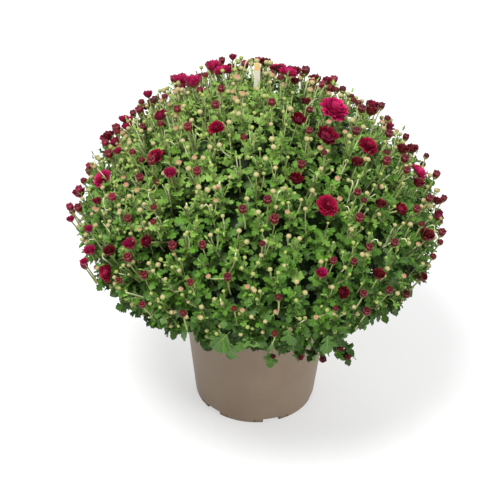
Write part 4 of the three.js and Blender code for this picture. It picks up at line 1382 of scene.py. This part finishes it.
    def hanging(self):
        """Leaves over the pot's rim, and buds on drooping stalks between them."""
        rng, thin = self.rng, self.made.stalk
        for azimuth, radius, height, swing, length in HANGING_LEAVES:
            out = compass(math.radians(azimuth), 1, 0)
            aside = compass(math.radians(azimuth + 90), 1, 0)
            swing = math.radians(swing)
            foot = out * radius * MM + UP * height * MM
            along = aside * math.sin(swing) - UP * math.cos(swing) + out * rng.uniform(-0.15, 0.1)
            facing = (out * 0.8 + UP * 0.4 + self.jog(0.6)).normalized()
            spray = self.owner(foot)
            self.leaf(spray, foot, along.normalized(), facing, length * MM, LOBED, HANGING_AGE, 0)
        for azimuth, radius, height, size in DROOPING_BUDS:
            azimuth = math.radians(azimuth)
            end = compass(azimuth, radius * MM, height * MM)
            foot = compass(azimuth, radius * 0.8 * MM, (height + SPRIG_RISE) * MM)
            bend = foot.lerp(end, 0.6) + compass(azimuth, 0.012, 0.008)
            spray = self.owner(foot)
            line = bezier(foot, bend, end, 4)
            self.line(spray, line, thin * 1.6, thin * 1.1, rng.integers(1, 5))
            ahead = (line[-1] - line[-2]).normalized()
            tile = (int(rng.integers(0, 5)), PETAL_ROW)
            self.bud(spray, end, ahead.lerp(UP, 0.55), size * MM, BARREL, tile)
            for share in SPRIG_LEAVES:
                root = foot.lerp(bend, 1 - share).lerp(bend.lerp(end, share), share)
                along = (self.jog(0.8) + ahead).normalized()
                facing = UP + self.jog(0.4)
                self.leaf(spray, root, along, facing, rng.uniform(*SPRIG_LEAF) * MM, BROAD, SPRIG_LEAF_AGE, 0)

    def in_the_way(self, end):
        """Whether a bud would stand in a flower head, before a large one or before the label."""
        for head in self.heads:
            apart = end - head.middle
            before = VIEWED_FROM if head.size > LARGE_HEAD else head.axis
            hidden = apart.length < head.size * 2 and off_axis(apart, before).length < head.size * 0.6
            if hidden or apart.length < head.size / 2 + HEAD_GAP:
                return True
        for middle, size in self.placed:
            apart = end - middle
            hidden = apart.length < 0.03 and off_axis(apart, VIEWED_FROM).length < size / 2 + 3 * MM
            if hidden or apart.length < size / 2 + HEAD_GAP:
                return True
        return self.before_label(end, LABEL_GAP)

    def before_label(self, point, gap):
        """Whether a point would hide the label's end."""
        for down in (-0.012, 0.0, 0.012, 0.024):
            if off_axis(point - self.label + UP * down, VIEWED_FROM).length < gap:
                return True
        return False

    def place_coloured(self):
        """Where the front's coloured buds stand, and their sizes."""
        rng = np.random.default_rng(self.made.seed + 1)
        for azimuth, height, size in LARGE_BUDS:
            turn = self.mound.turn_at_height(height * MM)
            middle, _ = self.mound.place(turn, math.radians(azimuth), LARGE_BUD_DEPTH * MM)
            self.placed.append((middle, size * MM))
        count = self.made.coloured
        for i in range(count):
            level = math.asin(2 * (i + 0.5) / count - 1) / (math.pi / 2)
            turn = SMALL_BUDS_TURN + SMALL_BUDS_SPREAD * level
            widest = CROWN_AZIMUTH if turn < CROWN_TURN else FRONT_AZIMUTH
            aside = 2 * (i * GOLDEN_ANGLE / math.tau % 1) - 1
            azimuth = math.copysign(widest * abs(aside) ** SIDE_POWER, aside)
            azimuth += rng.uniform(-STRAY_AZIMUTH, STRAY_AZIMUTH)
            turn = max(LEAST_TURN, turn + rng.uniform(-STRAY_TURN, STRAY_TURN))
            depth = rng.uniform(*SMALL_BUD_DEPTH) * MM
            middle, _ = self.mound.place(math.radians(turn), math.radians(azimuth), depth)
            if not self.in_the_way(middle):
                self.placed.append((middle, rng.uniform(*SMALL_BUD) * MM))

    def coloured(self):
        """The front's coloured buds, on their stalks. Those on the left are the more magenta."""
        rng, thin = self.rng, self.made.stalk
        for middle, size in self.placed:
            azimuth = math.degrees(math.atan2(middle.x, -middle.y))
            size = size / MM
            spring = (middle - self.mound.fan).normalized().lerp(UP, 0.62).normalized()
            end = middle - spring * size * 0.5 * MM
            stage = SHOWING if size < BARREL_SIZE else BARREL if size < CUP_SIZE else CUP
            if size > BARREL_SIZE and abs(azimuth) > SIDE_AZIMUTH and rng.random() < SIDE_CUPS:
                stage = CUP
            root = end - spring * rng.uniform(26, 38) * MM + self.jog(3 * MM)
            line = bezier(root, root.lerp(end, 0.6) + self.jog(2.5 * MM), end, 4)
            spray = self.owner(end)
            self.line(spray, line, thin * 1.7, thin * 1.2, rng.integers(1, 5))
            column = rng.integers(0, 3) + 2 * (azimuth < -10) + (azimuth < -60) + 2 * (stage == CUP)
            self.bud(spray, end, spring.lerp(UP, 0.4), size * MM, stage, (int(column), PETAL_ROW))

    def flower_stalks(self):
        """A stalk from the inner slab to each flower head."""
        fan = self.mound.fan
        for head in self.heads:
            foot = head.middle - head.axis * head.size * 0.32
            root = fan.lerp(head.middle, 1 - self.mound.core_depth / (head.middle - fan).length)
            line = bezier(root, root.lerp(foot, 0.5) - head.axis * 2 * MM, foot, 4)
            self.line(self.owner(head.middle), line, 1.3 * MM, 1.0 * MM, self.rng.integers(1, 4))

    def main_stems(self):
        """Each spray's bare stem, from its hole in the soil up through the middle and into the mound."""
        fan = self.mound.fan
        for name, direction, foot in zip(self.sprays.names, self.sprays.directions, self.sprays.feet):
            level = max(0.05, math.hypot(direction.x, direction.y))
            reach = min(BARE_RADIUS / level, BARE_RISE / max(direction.z, 0.01))
            above = Vector((foot.x, foot.y, STEM_TURN))
            points = [foot, above, fan + direction * (reach - 0.017), fan + direction * (reach + 0.02)]
            self.line(self.growth[name], points, 2.6 * MM, 2.0 * MM, STEM_TILE_WOODY)


def off_axis(vector, axis):
    """What is left of a vector without its part along an axis, if it points that way."""
    return vector - axis * max(0.0, vector.dot(axis))


def grow(mound, sprays, heads):
    """All that the sprays carry. What is drawn at random comes in this order."""
    grower = Grower(mound, sprays, heads)
    grower.shoots()
    grower.hanging()
    grower.coloured()
    grower.flower_stalks()
    grower.main_stems()
    return grower.growth


# ---- geometry node trees


class Growing(Graph):
    """A geometry tree with a geometry input and output and its named inputs."""

    def __init__(self, name, inputs):
        super().__init__(bpy.data.node_groups.new(name, "GeometryNodeTree"))
        interface = self.tree.interface
        interface.new_socket("Geometry", in_out="INPUT", socket_type="NodeSocketGeometry")
        for label, kind in inputs.items():
            interface.new_socket(label, in_out="INPUT", socket_type="NodeSocket" + kind)
        interface.new_socket("Geometry", in_out="OUTPUT", socket_type="NodeSocketGeometry")
        self.inputs = self.node("NodeGroupInput").outputs

    def attribute(self, name, kind="FLOAT"):
        return self.wire("GeometryNodeInputNamedAttribute", {"data_type": kind}, {"Name": name})

    def store(self, geometry, name, value, kind="FLOAT", domain="POINT"):
        values = {"Geometry": geometry, "Name": name, "Value": value}
        return self.wire("GeometryNodeStoreNamedAttribute", {"data_type": kind, "domain": domain}, values)

    def drawn(self, low, high, seed):
        """A random number. Sockets 2 and 3 and output 1 are those for numbers."""
        values = {2: low, 3: high, "Seed": seed}
        return self.wire("FunctionNodeRandomValue", {"data_type": "FLOAT"}, values, 1)

    def joined(self, *pieces):
        join = self.node("GeometryNodeJoinGeometry")
        for piece in pieces:
            self.feed(join.inputs[0], piece)
        return Wire(self, join.outputs[0])

    def realized(self, geometry):
        return self.wire("GeometryNodeRealizeInstances", None, {"Geometry": geometry})

    def painted(self, geometry, label):
        values = {"Geometry": geometry, "Material": self.inputs[label]}
        return self.wire("GeometryNodeSetMaterial", None, values)

    def in_tile(self, geometry, u, v):
        """Moves a place in a tile, u and v, to the tile that the tile attribute names.

        What lies a whole tile higher goes to the row that backs and calyxes have."""
        column, row, _ = self.parts(self.attribute("tile", "FLOAT_VECTOR"))
        back = v.floor()
        x = (u + column) / TILES
        y = (v + back * (BACK_ROW - 1) + (1 - back) * row) / TILES
        return self.store(geometry, UV_MAP, self.vector(x, y), "FLOAT2", "CORNER")

    def planted(self, points, shapes):
        """Stands one of the shapes on every guide point, realized and moved to its tile."""
        spread = Wire(self, self.inputs["Size spread"])
        kinds = {"Collection": shapes, "Separate Children": True, "Reset Children": True}
        values = {
            "Points": points,
            "Instance": self.wire("GeometryNodeCollectionInfo", None, kinds),
            "Pick Instance": True,
            "Instance Index": self.attribute("shape", "INT"),
            "Rotation": self.attribute("turn", "QUATERNION"),
            "Scale": self.attribute("size") * self.drawn(1 - spread, 1 + spread, self.inputs["Seed"]),
        }
        stood = self.wire("GeometryNodeInstanceOnPoints", None, values)
        u, v, _ = self.parts(self.attribute(UV_MAP, "FLOAT_VECTOR"))
        return self.in_tile(self.realized(stood), u, v)

    def finish(self, geometry):
        self.node("NodeGroupOutput", None, {"Geometry": geometry})
        return self.tree


def spray_tree():
    """Leaves, buds and stalks on their guides, with the spray's part of the inner slab of painted shade."""
    graph = Growing("Leafy spray", {
        "Leaf shapes": "Collection", "Bud guides": "Object", "Bud shapes": "Collection",
        "Stalk guides": "Object", "Inner shade slab": "Object", "Stalk sides": "Int",
        "Size spread": "Float", "Seed": "Int",
        "Leaf finish": "Material", "Bud finish": "Material", "Stem finish": "Material",
    })
    inputs = graph.inputs

    def guide(label):
        """A guide object's geometry, which is the Object Info node's fifth output."""
        return graph.wire("GeometryNodeObjectInfo", None, {"Object": inputs[label]}, 4)

    leaves = graph.planted(inputs["Geometry"], inputs["Leaf shapes"])
    buds = graph.planted(guide("Bud guides"), inputs["Bud shapes"])
    factor = graph.wire("GeometryNodeSplineParameter")
    curves = graph.wire("GeometryNodeMeshToCurve", None, {"Mesh": guide("Stalk guides")})
    ring = graph.wire("GeometryNodeCurvePrimitiveCircle", {"mode": "RADIUS"},
                      {"Resolution": inputs["Stalk sides"], "Radius": 1.0})
    tubes = graph.wire("GeometryNodeCurveToMesh", None, {
        "Curve": graph.store(curves, "along", factor), "Profile Curve": graph.store(ring, "round", factor),
        "Scale": graph.attribute("thick"), "Fill Caps": True,
    })
    u, v = (graph.attribute(name) * 0.8 + 0.1 for name in ("round", "along"))
    stems = graph.joined(graph.in_tile(tubes, u, v), guide("Inner shade slab"))
    return graph.finish(graph.realized(graph.joined(
        graph.painted(leaves, "Leaf finish"), graph.painted(buds, "Bud finish"),
        graph.painted(stems, "Stem finish"))))


def planting_tree(name):
    """One kind of piece on loose guide points."""
    graph = Growing(name, {
        "Shapes": "Collection", "Size spread": "Float", "Seed": "Int", "Finish": "Material"})
    stood = graph.planted(graph.inputs["Geometry"], graph.inputs["Shapes"])
    return graph.finish(graph.painted(stood, "Finish"))


def crumb_tree():
    """Crumbs strewn over a surface, sunk into it by half."""
    graph = Growing("Crumbs", {
        "Density": "Float", "Smallest": "Float", "Largest": "Float", "Seed": "Int", "Finish": "Material"})
    surface, density, smallest, largest, seed = (
        graph.inputs[label] for label in ("Geometry", "Density", "Smallest", "Largest", "Seed"))
    strewn = graph.wire("GeometryNodeDistributePointsOnFaces", None,
                        {"Mesh": surface, "Density": density, "Seed": seed})
    turn = graph.wire("FunctionNodeRandomValue", {"data_type": "FLOAT_VECTOR"},
                      {0: (0, 0, 0), 1: (math.tau, math.tau, math.tau), "Seed": seed})
    crumb = graph.wire("GeometryNodeMeshIcoSphere", None, {"Radius": 1.0, "Subdivisions": 1})
    values = {"Points": strewn, "Instance": crumb, "Rotation": turn,
              "Scale": graph.drawn(smallest, largest, seed)}
    stood = graph.wire("GeometryNodeInstanceOnPoints", None, values)
    return graph.finish(graph.painted(graph.realized(graph.joined(stood, surface)), "Finish"))


def grown(guide, tree, values, name):
    """Runs a tree on a guide and gives the result as a plain mesh object."""
    modifier = guide.modifiers.new("growth", "NODES")
    modifier.node_group = tree
    for item in tree.interface.items_tree:
        if item.item_type == "SOCKET" and item.in_out == "INPUT" and item.name in values:
            modifier[item.identifier] = values[item.name]
    guide.update_tag()
    mesh = evaluated_mesh(guide, modifier)
    for key in GUIDE_ATTRIBUTES:
        if key in mesh.attributes:
            mesh.attributes.remove(mesh.attributes[key])
    mesh.name = name
    if mesh.materials and mesh.materials[0] is None:
        mesh.materials.pop(index=0)
    return linked(name, mesh)


def evaluated_mesh(piece, modifier):
    """What a modifier makes of a piece. The modifier is removed."""
    bpy.context.view_layer.update()
    depsgraph = bpy.context.evaluated_depsgraph_get()
    mesh = bpy.data.meshes.new_from_object(
        piece.evaluated_get(depsgraph), preserve_all_data_layers=True, depsgraph=depsgraph)
    piece.modifiers.remove(modifier)
    if not mesh.polygons:
        raise RuntimeError(f"{piece.name} has come out without faces")
    return mesh


def discard(*objects):
    for item in objects:
        bpy.data.objects.remove(item)


def shelf(name):
    """A collection for shapes that are planted and never shown themselves."""
    return bpy.data.collections.new(name)


def clear_shelf(collection):
    discard(*list(collection.objects))
    bpy.data.collections.remove(collection)


def settle(piece, slot, *nodes):
    """Puts a finished piece on the one body that the plant has."""
    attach(piece, "root")
    if nodes:
        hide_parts(*nodes)


# ---- operators


def inner_growth(mound, sprays, rng):
    """Each spray's part of a rough closed slab under its leaves, painted dark as the shade inside the plant.
    """
    columns, rows, thickness = 60, 26, 6 * MM
    end = mound.turns[-1]
    places = []
    for row in range(rows + 1):
        turn = max(0.03, end * row / rows)
        for column in range(columns):
            depth = mound.core_depth + rng.uniform(-5, 7) * MM
            places.append(mound.place(turn, math.tau * column / columns, depth)[0])
    patches = {name: [] for name in sprays.names}
    for row in range(rows):
        for column in range(columns):
            low, high = row * columns, (row + 1) * columns
            after = (column + 1) % columns
            corners = [low + column, high + column, high + after, low + after]
            middle = sum((places[corner] for corner in corners), Vector()) / 4
            patches[sprays.nearest(middle)].append(corners)
    slabs = {}
    for name, faces in patches.items():
        slab = bmesh.new()
        index = {}
        for corners in faces:
            for corner in corners:
                if corner not in index:
                    index[corner] = slab.verts.new(places[corner])
            slab.faces.new([index[corner] for corner in corners])
        bmesh.ops.recalc_face_normals(slab, faces=slab.faces)
        if sum(face.normal.dot(face.calc_center_median() - mound.fan) for face in slab.faces) < 0:
            bmesh.ops.reverse_faces(slab, faces=slab.faces)
        bmesh.ops.solidify(slab, geom=slab.faces[:], thickness=thickness)
        bmesh.ops.recalc_face_normals(slab, faces=slab.faces)
        layer = slab.loops.layers.uv.new(UV_MAP)
        for face in slab.faces:
            for corner, (u, v) in zip(face.loops, ((0.1, 0.1), (0.9, 0.1), (0.9, 0.9), (0.1, 0.9))):
                corner[layer].uv = ((SHADE_SLAB_TILE + u) / TILES, (STEM_ROW + v) / TILES)
        slabs[name] = linked("inner_growth", mesh_of(slab, "inner_growth"))
    return slabs


class GrowSprays(bpy.types.Operator):
    """Grow the leafy sprays, each with its leaves, stalks and buds"""

    bl_idname = "chrysanthemum.grow_sprays"
    bl_label = "Grow leafy sprays"

    def execute(self, context):
        rng = np.random.default_rng(settings("growth").seed + 1)
        mound = Mound(*CAD_BOX)
        sprays = Sprays()
        growth = grow(mound, sprays, flower_heads(mound))
        slabs = inner_growth(mound, sprays, rng)
        leaves, buds = shelf("leaf_shapes"), shelf("bud_shapes")
        for name, plan in LEAVES.items():
            leaf_shape(name, *plan, leaves)
        bud_shapes(buds, rng)
        tree = spray_tree()
        finishes = {"Leaf finish": leaf_finish(), "Bud finish": bud_finish(), "Stem finish": stem_finish()}
        for number, (name, spray) in enumerate(growth.items()):
            guide = guide_points("leaf_guides", spray.leaves)
            bud_guide = guide_points("bud_guides", spray.buds)
            lines = guide_lines("stalk_guides", spray.lines)
            values = {
                "Leaf shapes": leaves, "Bud guides": bud_guide, "Bud shapes": buds,
                "Stalk guides": lines, "Inner shade slab": slabs[name], "Stalk sides": 4,
                "Size spread": 0.06, "Seed": number, **finishes,
            }
            piece = grown(guide, tree, values, "leafy_" + name)
            settle(piece, "foliage", name)
            discard(guide, bud_guide, lines, slabs[name])
        clear_shelf(leaves)
        clear_shelf(buds)
        return {"FINISHED"}


# The shape of the crimson heads and of the smallest magenta ones, by its number in the collection.
CRIMSON_SHAPE, MAGENTA_SHAPE = 0, 1
# Past each of these sizes a magenta head has the next shape, which is further open.
OPENING_SIZES = (0.0235, 0.030)
# Magenta heads in front of this depth lean to their other shade, and so do crimson ones behind it.
FRONT_HEADS = -0.035


class OpenFlowers(bpy.types.Operator):
    """Set the open flower heads on their stalks, petal by petal"""

    bl_idname = "chrysanthemum.open_flowers"
    bl_label = "Open flower heads"

    def execute(self, context):
        rng = np.random.default_rng(settings("growth").seed + 2)
        tint = settings("colours")
        heads = flower_heads(Mound(*CAD_BOX))
        shapes = shelf("flower_shapes")
        flower_shapes(shapes, rng)
        tree = planting_tree("Flower heads")
        finishes = {
            "magenta": petal_finish("petal_magenta", tint.magenta, *MAGENTA_SHADES),
            "crimson": petal_finish("petal_crimson", tint.crimson, *CRIMSON_SHADES),
        }
        for kind, finish in finishes.items():
            chosen = [head for head in heads if head.magenta == (kind == "magenta")]
            rows = [self.row(head, rng) for head in chosen]
            guide = guide_points("flower_guides", rows)
            values = {"Shapes": shapes, "Size spread": 0.03, "Seed": 5, "Finish": finish}
            piece = grown(guide, tree, values, kind + "_flower_heads")
            settle(piece, kind + "_petals", *(head.name for head in chosen))
            discard(guide)
        clear_shelf(shapes)
        return {"FINISHED"}

    def row(self, head, rng):
        """One head's guide point: its foot, turn, size, shape and tile."""
        shape = CRIMSON_SHAPE
        if head.magenta:
            shape = MAGENTA_SHAPE + sum(head.size > size for size in OPENING_SIZES)
        foot = head.middle - head.axis * head.size * (0.30 if head.magenta else 0.36)
        column = rng.integers(0, 4) + 4 * (head.magenta == (head.middle.y < FRONT_HEADS))
        turn = standing(head.axis, rng.uniform(0, math.tau))
        return foot, turn, head.size * 0.9, shape, (int(column), PETAL_ROW)


class PotPlan:
    """The pot's sizes, as the frame has them, in metres and degrees."""

    foot_radius = 0.0803
    top_radius = 0.096
    wall = 0.002
    lip_out = 0.0016
    lip_height = 0.007
    foot_edge = 0.003
    foot_ring = 0.005
    floor_under = 0.008
    floor_thick = 0.0025
    notches = 6
    notch_angle = 16.5
    notch_height = 0.007
    first_notch = 16.5
    pad_angle = 8.5
    pad_height = 0.0055
    pad_recess = 0.0009
    pad_lift = 0.0008
    drain_radius = 0.005
    drain_circle = 0.062
    segments = 144
    # The cutters reach from inside the foot ring to outside it, and below the pot.
    cut_inner = 0.050
    cut_outer = 0.095
    cut_low = -0.001

    def __init__(self, height):
        self.height = height

    def radius_at(self, z):
        return self.foot_radius + (self.top_radius - self.foot_radius) * z / self.height

    def profile(self):
        """The pot's cut, from the middle of its underside round its rim to the middle of its floor."""
        at, top, wall = self.radius_at, self.height, self.wall
        lip = top - self.lip_height
        floor = self.floor_under + self.floor_thick
        edge = self.foot_radius - self.foot_edge
        inside = edge - self.foot_ring
        bead = 0.9 * MM
        rim = at(top) + self.lip_out
        return [
            (0, self.floor_under), (inside, self.floor_under), (inside, 0.4 * MM), (inside + 0.4 * MM, 0),
            (edge, 0), (at(1 * MM) - 1.3 * MM, 0.5 * MM),
            (at(2 * MM) - 0.3 * MM, 1.6 * MM), (at(self.foot_edge), self.foot_edge),
            *((at(z), z) for z in np.linspace(0.012, lip - 0.004, 9)),
            (at(lip), lip), (at(lip) + self.lip_out * 0.8, lip + 0.3 * MM),
            (at(lip) + self.lip_out, lip + 1.0 * MM), (rim, top - 1.6 * MM),
            (rim - 0.4 * MM, top - 0.5 * MM), (rim - bead - 0.5 * MM, top),
            (at(top) - wall + 0.6 * MM, top), (at(top) - wall, top - 0.6 * MM),
            *((at(z) - wall, z) for z in np.linspace(lip, floor + 0.006, 8)),
            (at(floor) - wall - 1.5 * MM, floor + 0.8 * MM), (at(floor) - wall - 4 * MM, floor), (0, floor),
        ]

    def cutters(self):
        """What is cut from the foot ring and the floor: notches, the pads' steps and drainage holes."""
        form = bmesh.new()
        inner, outer, low = self.cut_inner, self.cut_outer, self.cut_low
        between = 360 / self.notches
        rest = between - self.notch_angle - 2 * self.pad_angle
        face = self.radius_at(self.pad_height / 2) - self.pad_recess
        for i in range(self.notches):
            middle = self.first_notch + between * i
            wedge(form, middle, self.notch_angle, inner, outer, low, self.notch_height)
            wedge(form, middle + between / 2, rest, inner, outer, low, self.pad_lift)
            for side in (-1, 1):
                azimuth = middle + side * (self.notch_angle + self.pad_angle) / 2
                wedge(form, azimuth, self.pad_angle + 0.02, face, outer, low, self.pad_height)
            drain = Matrix.Translation(compass(math.radians(middle), self.drain_circle, self.floor_under))
            bmesh.ops.create_cone(form, cap_ends=True, segments=20, radius1=self.drain_radius,
                                  radius2=self.drain_radius, depth=0.02, matrix=drain)
        bmesh.ops.recalc_face_normals(form, faces=form.faces)
        return linked("pot_cutters", mesh_of(form, "pot_cutters"))


def turned(name, profile, segments):
    """A closed form turned about Z from a profile that starts and ends on the axis."""
    form = bmesh.new()
    angles = [math.tau * i / segments for i in range(segments)]
    rings = []
    for radius, height in profile:
        if radius == 0:
            rings.append([form.verts.new((0, 0, height))] * segments)
        else:
            rings.append([form.verts.new(compass(angle, radius, height)) for angle in angles])
    for low, high in zip(rings, rings[1:]):
        for i in range(segments):
            j = (i + 1) % segments
            corners = list(dict.fromkeys((low[i], low[j], high[j], high[i])))
            if len(corners) > 2:
                form.faces.new(corners)
    bmesh.ops.recalc_face_normals(form, faces=form.faces)
    return linked(name, mesh_of(form, name))


def wedge(form, middle, angle, inner, outer, low, high, steps=6):
    """Adds a closed wedge of a ring to a form, for cutting."""
    walls = []
    for i in range(steps + 1):
        azimuth = math.radians(middle + angle * (i / steps - 0.5))
        corners = ((inner, low), (outer, low), (outer, high), (inner, high))
        walls.append([form.verts.new(compass(azimuth, radius, height)) for radius, height in corners])
    for first, second in zip(walls, walls[1:]):
        for k in range(4):
            form.faces.new((first[k], first[(k + 1) % 4], second[(k + 1) % 4], second[k]))
    form.faces.new(walls[0][::-1])
    form.faces.new(walls[-1])


class MouldPot(bpy.types.Operator):
    """Mould the nursery pot, with its rim, foot ring, notches and pads"""

    bl_idname = "chrysanthemum.mould_pot"
    bl_label = "Mould pot"

    def execute(self, context):
        plan = PotPlan(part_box("pot")[1].z)
        pot = turned("nursery_pot", plan.profile(), plan.segments)
        cutter = plan.cutters()
        modifier = pot.modifiers.new("cut", "BOOLEAN")
        modifier.object = cutter
        modifier.solver = "EXACT"
        modifier.use_self = True
        pot.data = evaluated_mesh(pot, modifier)
        discard(cutter)
        pot.data.materials.clear()
        pot.data.materials.append(pot_finish())
        for face in pot.data.polygons:
            face.material_index = 0
        pot.data.shade_smooth()
        pot.data.set_sharp_from_angle(angle=math.radians(32))
        settle(pot, "pot_plastic", "pot")
        return {"FINISHED"}


class FillSoil(bpy.types.Operator):
    """Fill the pot with crumbly potting soil"""

    bl_idname = "chrysanthemum.fill_soil"
    bl_label = "Fill soil"

    def execute(self, context):
        look = settings("potting")
        rng = np.random.default_rng(settings("growth").seed + 3)
        low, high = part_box("potting_soil")
        rim = high.x - 0.2 * MM
        surface_from = high.z - 6 * MM
        profile = [(0, low.z), (rim * 0.86, low.z), (rim - 0.2 * MM, high.z - 7 * MM)]
        profile += [(rim * share, high.z - 4.5 * MM * share ** 4) for share in np.linspace(0.98, 0.06, 16)]
        soil = turned("potting_mix", [*profile, (0, high.z)], 72)
        for vertex in soil.data.vertices:
            if vertex.co.z > surface_from and vertex.co.xy.length < rim * 0.97:
                vertex.co.z += rng.uniform(-1.8, 0.6) * MM
        surface = bmesh.new()
        surface.from_mesh(soil.data)
        sides = [face for face in surface.faces if face.calc_center_median().z < surface_from]
        bmesh.ops.delete(surface, geom=sides, context="FACES")
        lid = linked("soil_surface", mesh_of(surface, "soil_surface"))
        finish = soil_finish()
        values = {"Density": float(look.crumbs), "Smallest": 0.6 * MM, "Largest": 2.0 * MM, "Seed": 3,
                  "Finish": finish}
        crumbs = grown(lid, crumb_tree(), values, "soil_crumbs")
        soil.data.materials.append(finish)
        soil.data.shade_smooth()
        settle(soil, "soil", "potting_soil")
        settle(crumbs, "soil")
        discard(lid)
        return {"FINISHED"}


class FinishLabel(bpy.types.Operator):
    """Give the plant label its plain coloured plastic"""

    bl_idname = "chrysanthemum.finish_label"
    bl_label = "Finish label"

    def execute(self, context):
        label = frame["nodes"]["plant_label"]
        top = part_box("plant_label")[1].z
        finish = label_finish(top - 10 * MM, (top - 40 * MM, top - 33 * MM))
        for slot in label.material_slots:
            slot.material = finish
        return {"FINISHED"}


# What the camera and the lamps aim at.
TARGET = Vector((-0.0104, 0.0, 0.2250))
SENSOR_WIDTH = 36.0
FLOOR_RADIUS = 14.0
# Each lamp: its azimuth in degrees, its distance and height, its size, and its share of the key's
# power.
LAMPS = {
    "key": (-36, 1.1, 2.7, 1.1, 1),
    "fill": (55, 2.0, 0.9, 1.2, 0.18),
    "back": (170, 1.7, 2.0, 1.2, 0.2),
}


class SetStage(bpy.types.Operator):
    """Lay a pale floor and set soft lights and the camera"""

    bl_idname = "chrysanthemum.set_stage"
    bl_label = "Set stage"

    def execute(self, context):
        stage = settings("stage")
        scene = context.scene
        form = bmesh.new()
        bmesh.ops.create_circle(form, cap_ends=True, segments=64, radius=FLOOR_RADIUS)
        floor = linked("floor", mesh_of(form, "floor"))
        floor.data.materials.append(floor_finish())
        for name, (azimuth, distance, height, size, share) in LAMPS.items():
            light = bpy.data.lights.new(name, "AREA")
            light.shape = "DISK"
            light.size = size
            light.energy = stage.key * share
            place = compass(math.radians(azimuth), distance, height)
            linked(name, light).matrix_world = aimed(place, 0)
        world = bpy.data.worlds.new("even_light")
        world.use_nodes = True
        background = next(node for node in world.node_tree.nodes if node.type == "BACKGROUND")
        background.inputs["Color"].default_value = (1, 1, 1, 1)
        background.inputs["Strength"].default_value = stage.sky
        scene.world = world
        scene.view_settings.view_transform = "Standard"
        camera = bpy.data.cameras.new("camera")
        camera.lens = stage.lens
        camera.sensor_width = SENSOR_WIDTH
        behind, above = math.cos(stage.elevation), math.sin(stage.elevation)
        place = TARGET + compass(0, stage.distance * behind, stage.distance * above)
        scene.camera = linked("camera", camera)
        scene.camera.matrix_world = aimed(place, stage.roll)
        return {"FINISHED"}


def aimed(place, roll):
    """Where a lamp or the camera stands, turned towards the target and leant by a roll."""
    turn = (TARGET - place).to_track_quat("-Z", "Y").to_matrix() @ Matrix.Rotation(roll, 3, "Z")
    return Matrix.Translation(place) @ turn.to_4x4()


OPERATORS = (GrowSprays, OpenFlowers, MouldPot, FillSoil, FinishLabel, SetStage)


class ChrysanthemumPanel(bpy.types.Panel):
    """Lists the plant's settings and its operators"""

    bl_idname = "VIEW3D_PT_chrysanthemum"
    bl_label = "Pot chrysanthemum"
    bl_space_type = "VIEW_3D"
    bl_region_type = "UI"
    bl_category = "Chrysanthemum"

    def draw(self, context):
        for name, group in GROUPS.items():
            box = self.layout.box()
            box.label(text=group.__doc__)
            for key in group.__annotations__:
                box.prop(settings(name), key)
        for operator in OPERATORS:
            self.layout.operator(operator.bl_idname)


def register():
    for item in (*GROUPS.values(), *OPERATORS, ChrysanthemumPanel):
        bpy.utils.register_class(item)
    for name, group in GROUPS.items():
        setattr(bpy.types.Scene, "chrysanthemum_" + name, PointerProperty(type=group))


def unregister():
    for name in GROUPS:
        delattr(bpy.types.Scene, "chrysanthemum_" + name)
    for item in (*GROUPS.values(), *OPERATORS, ChrysanthemumPanel):
        bpy.utils.unregister_class(item)


def main():
    register()
    for operator in OPERATORS:
        group, action = operator.bl_idname.split(".")
        getattr(getattr(bpy.ops, group), action)()


if __name__ == "__main__":
    main()
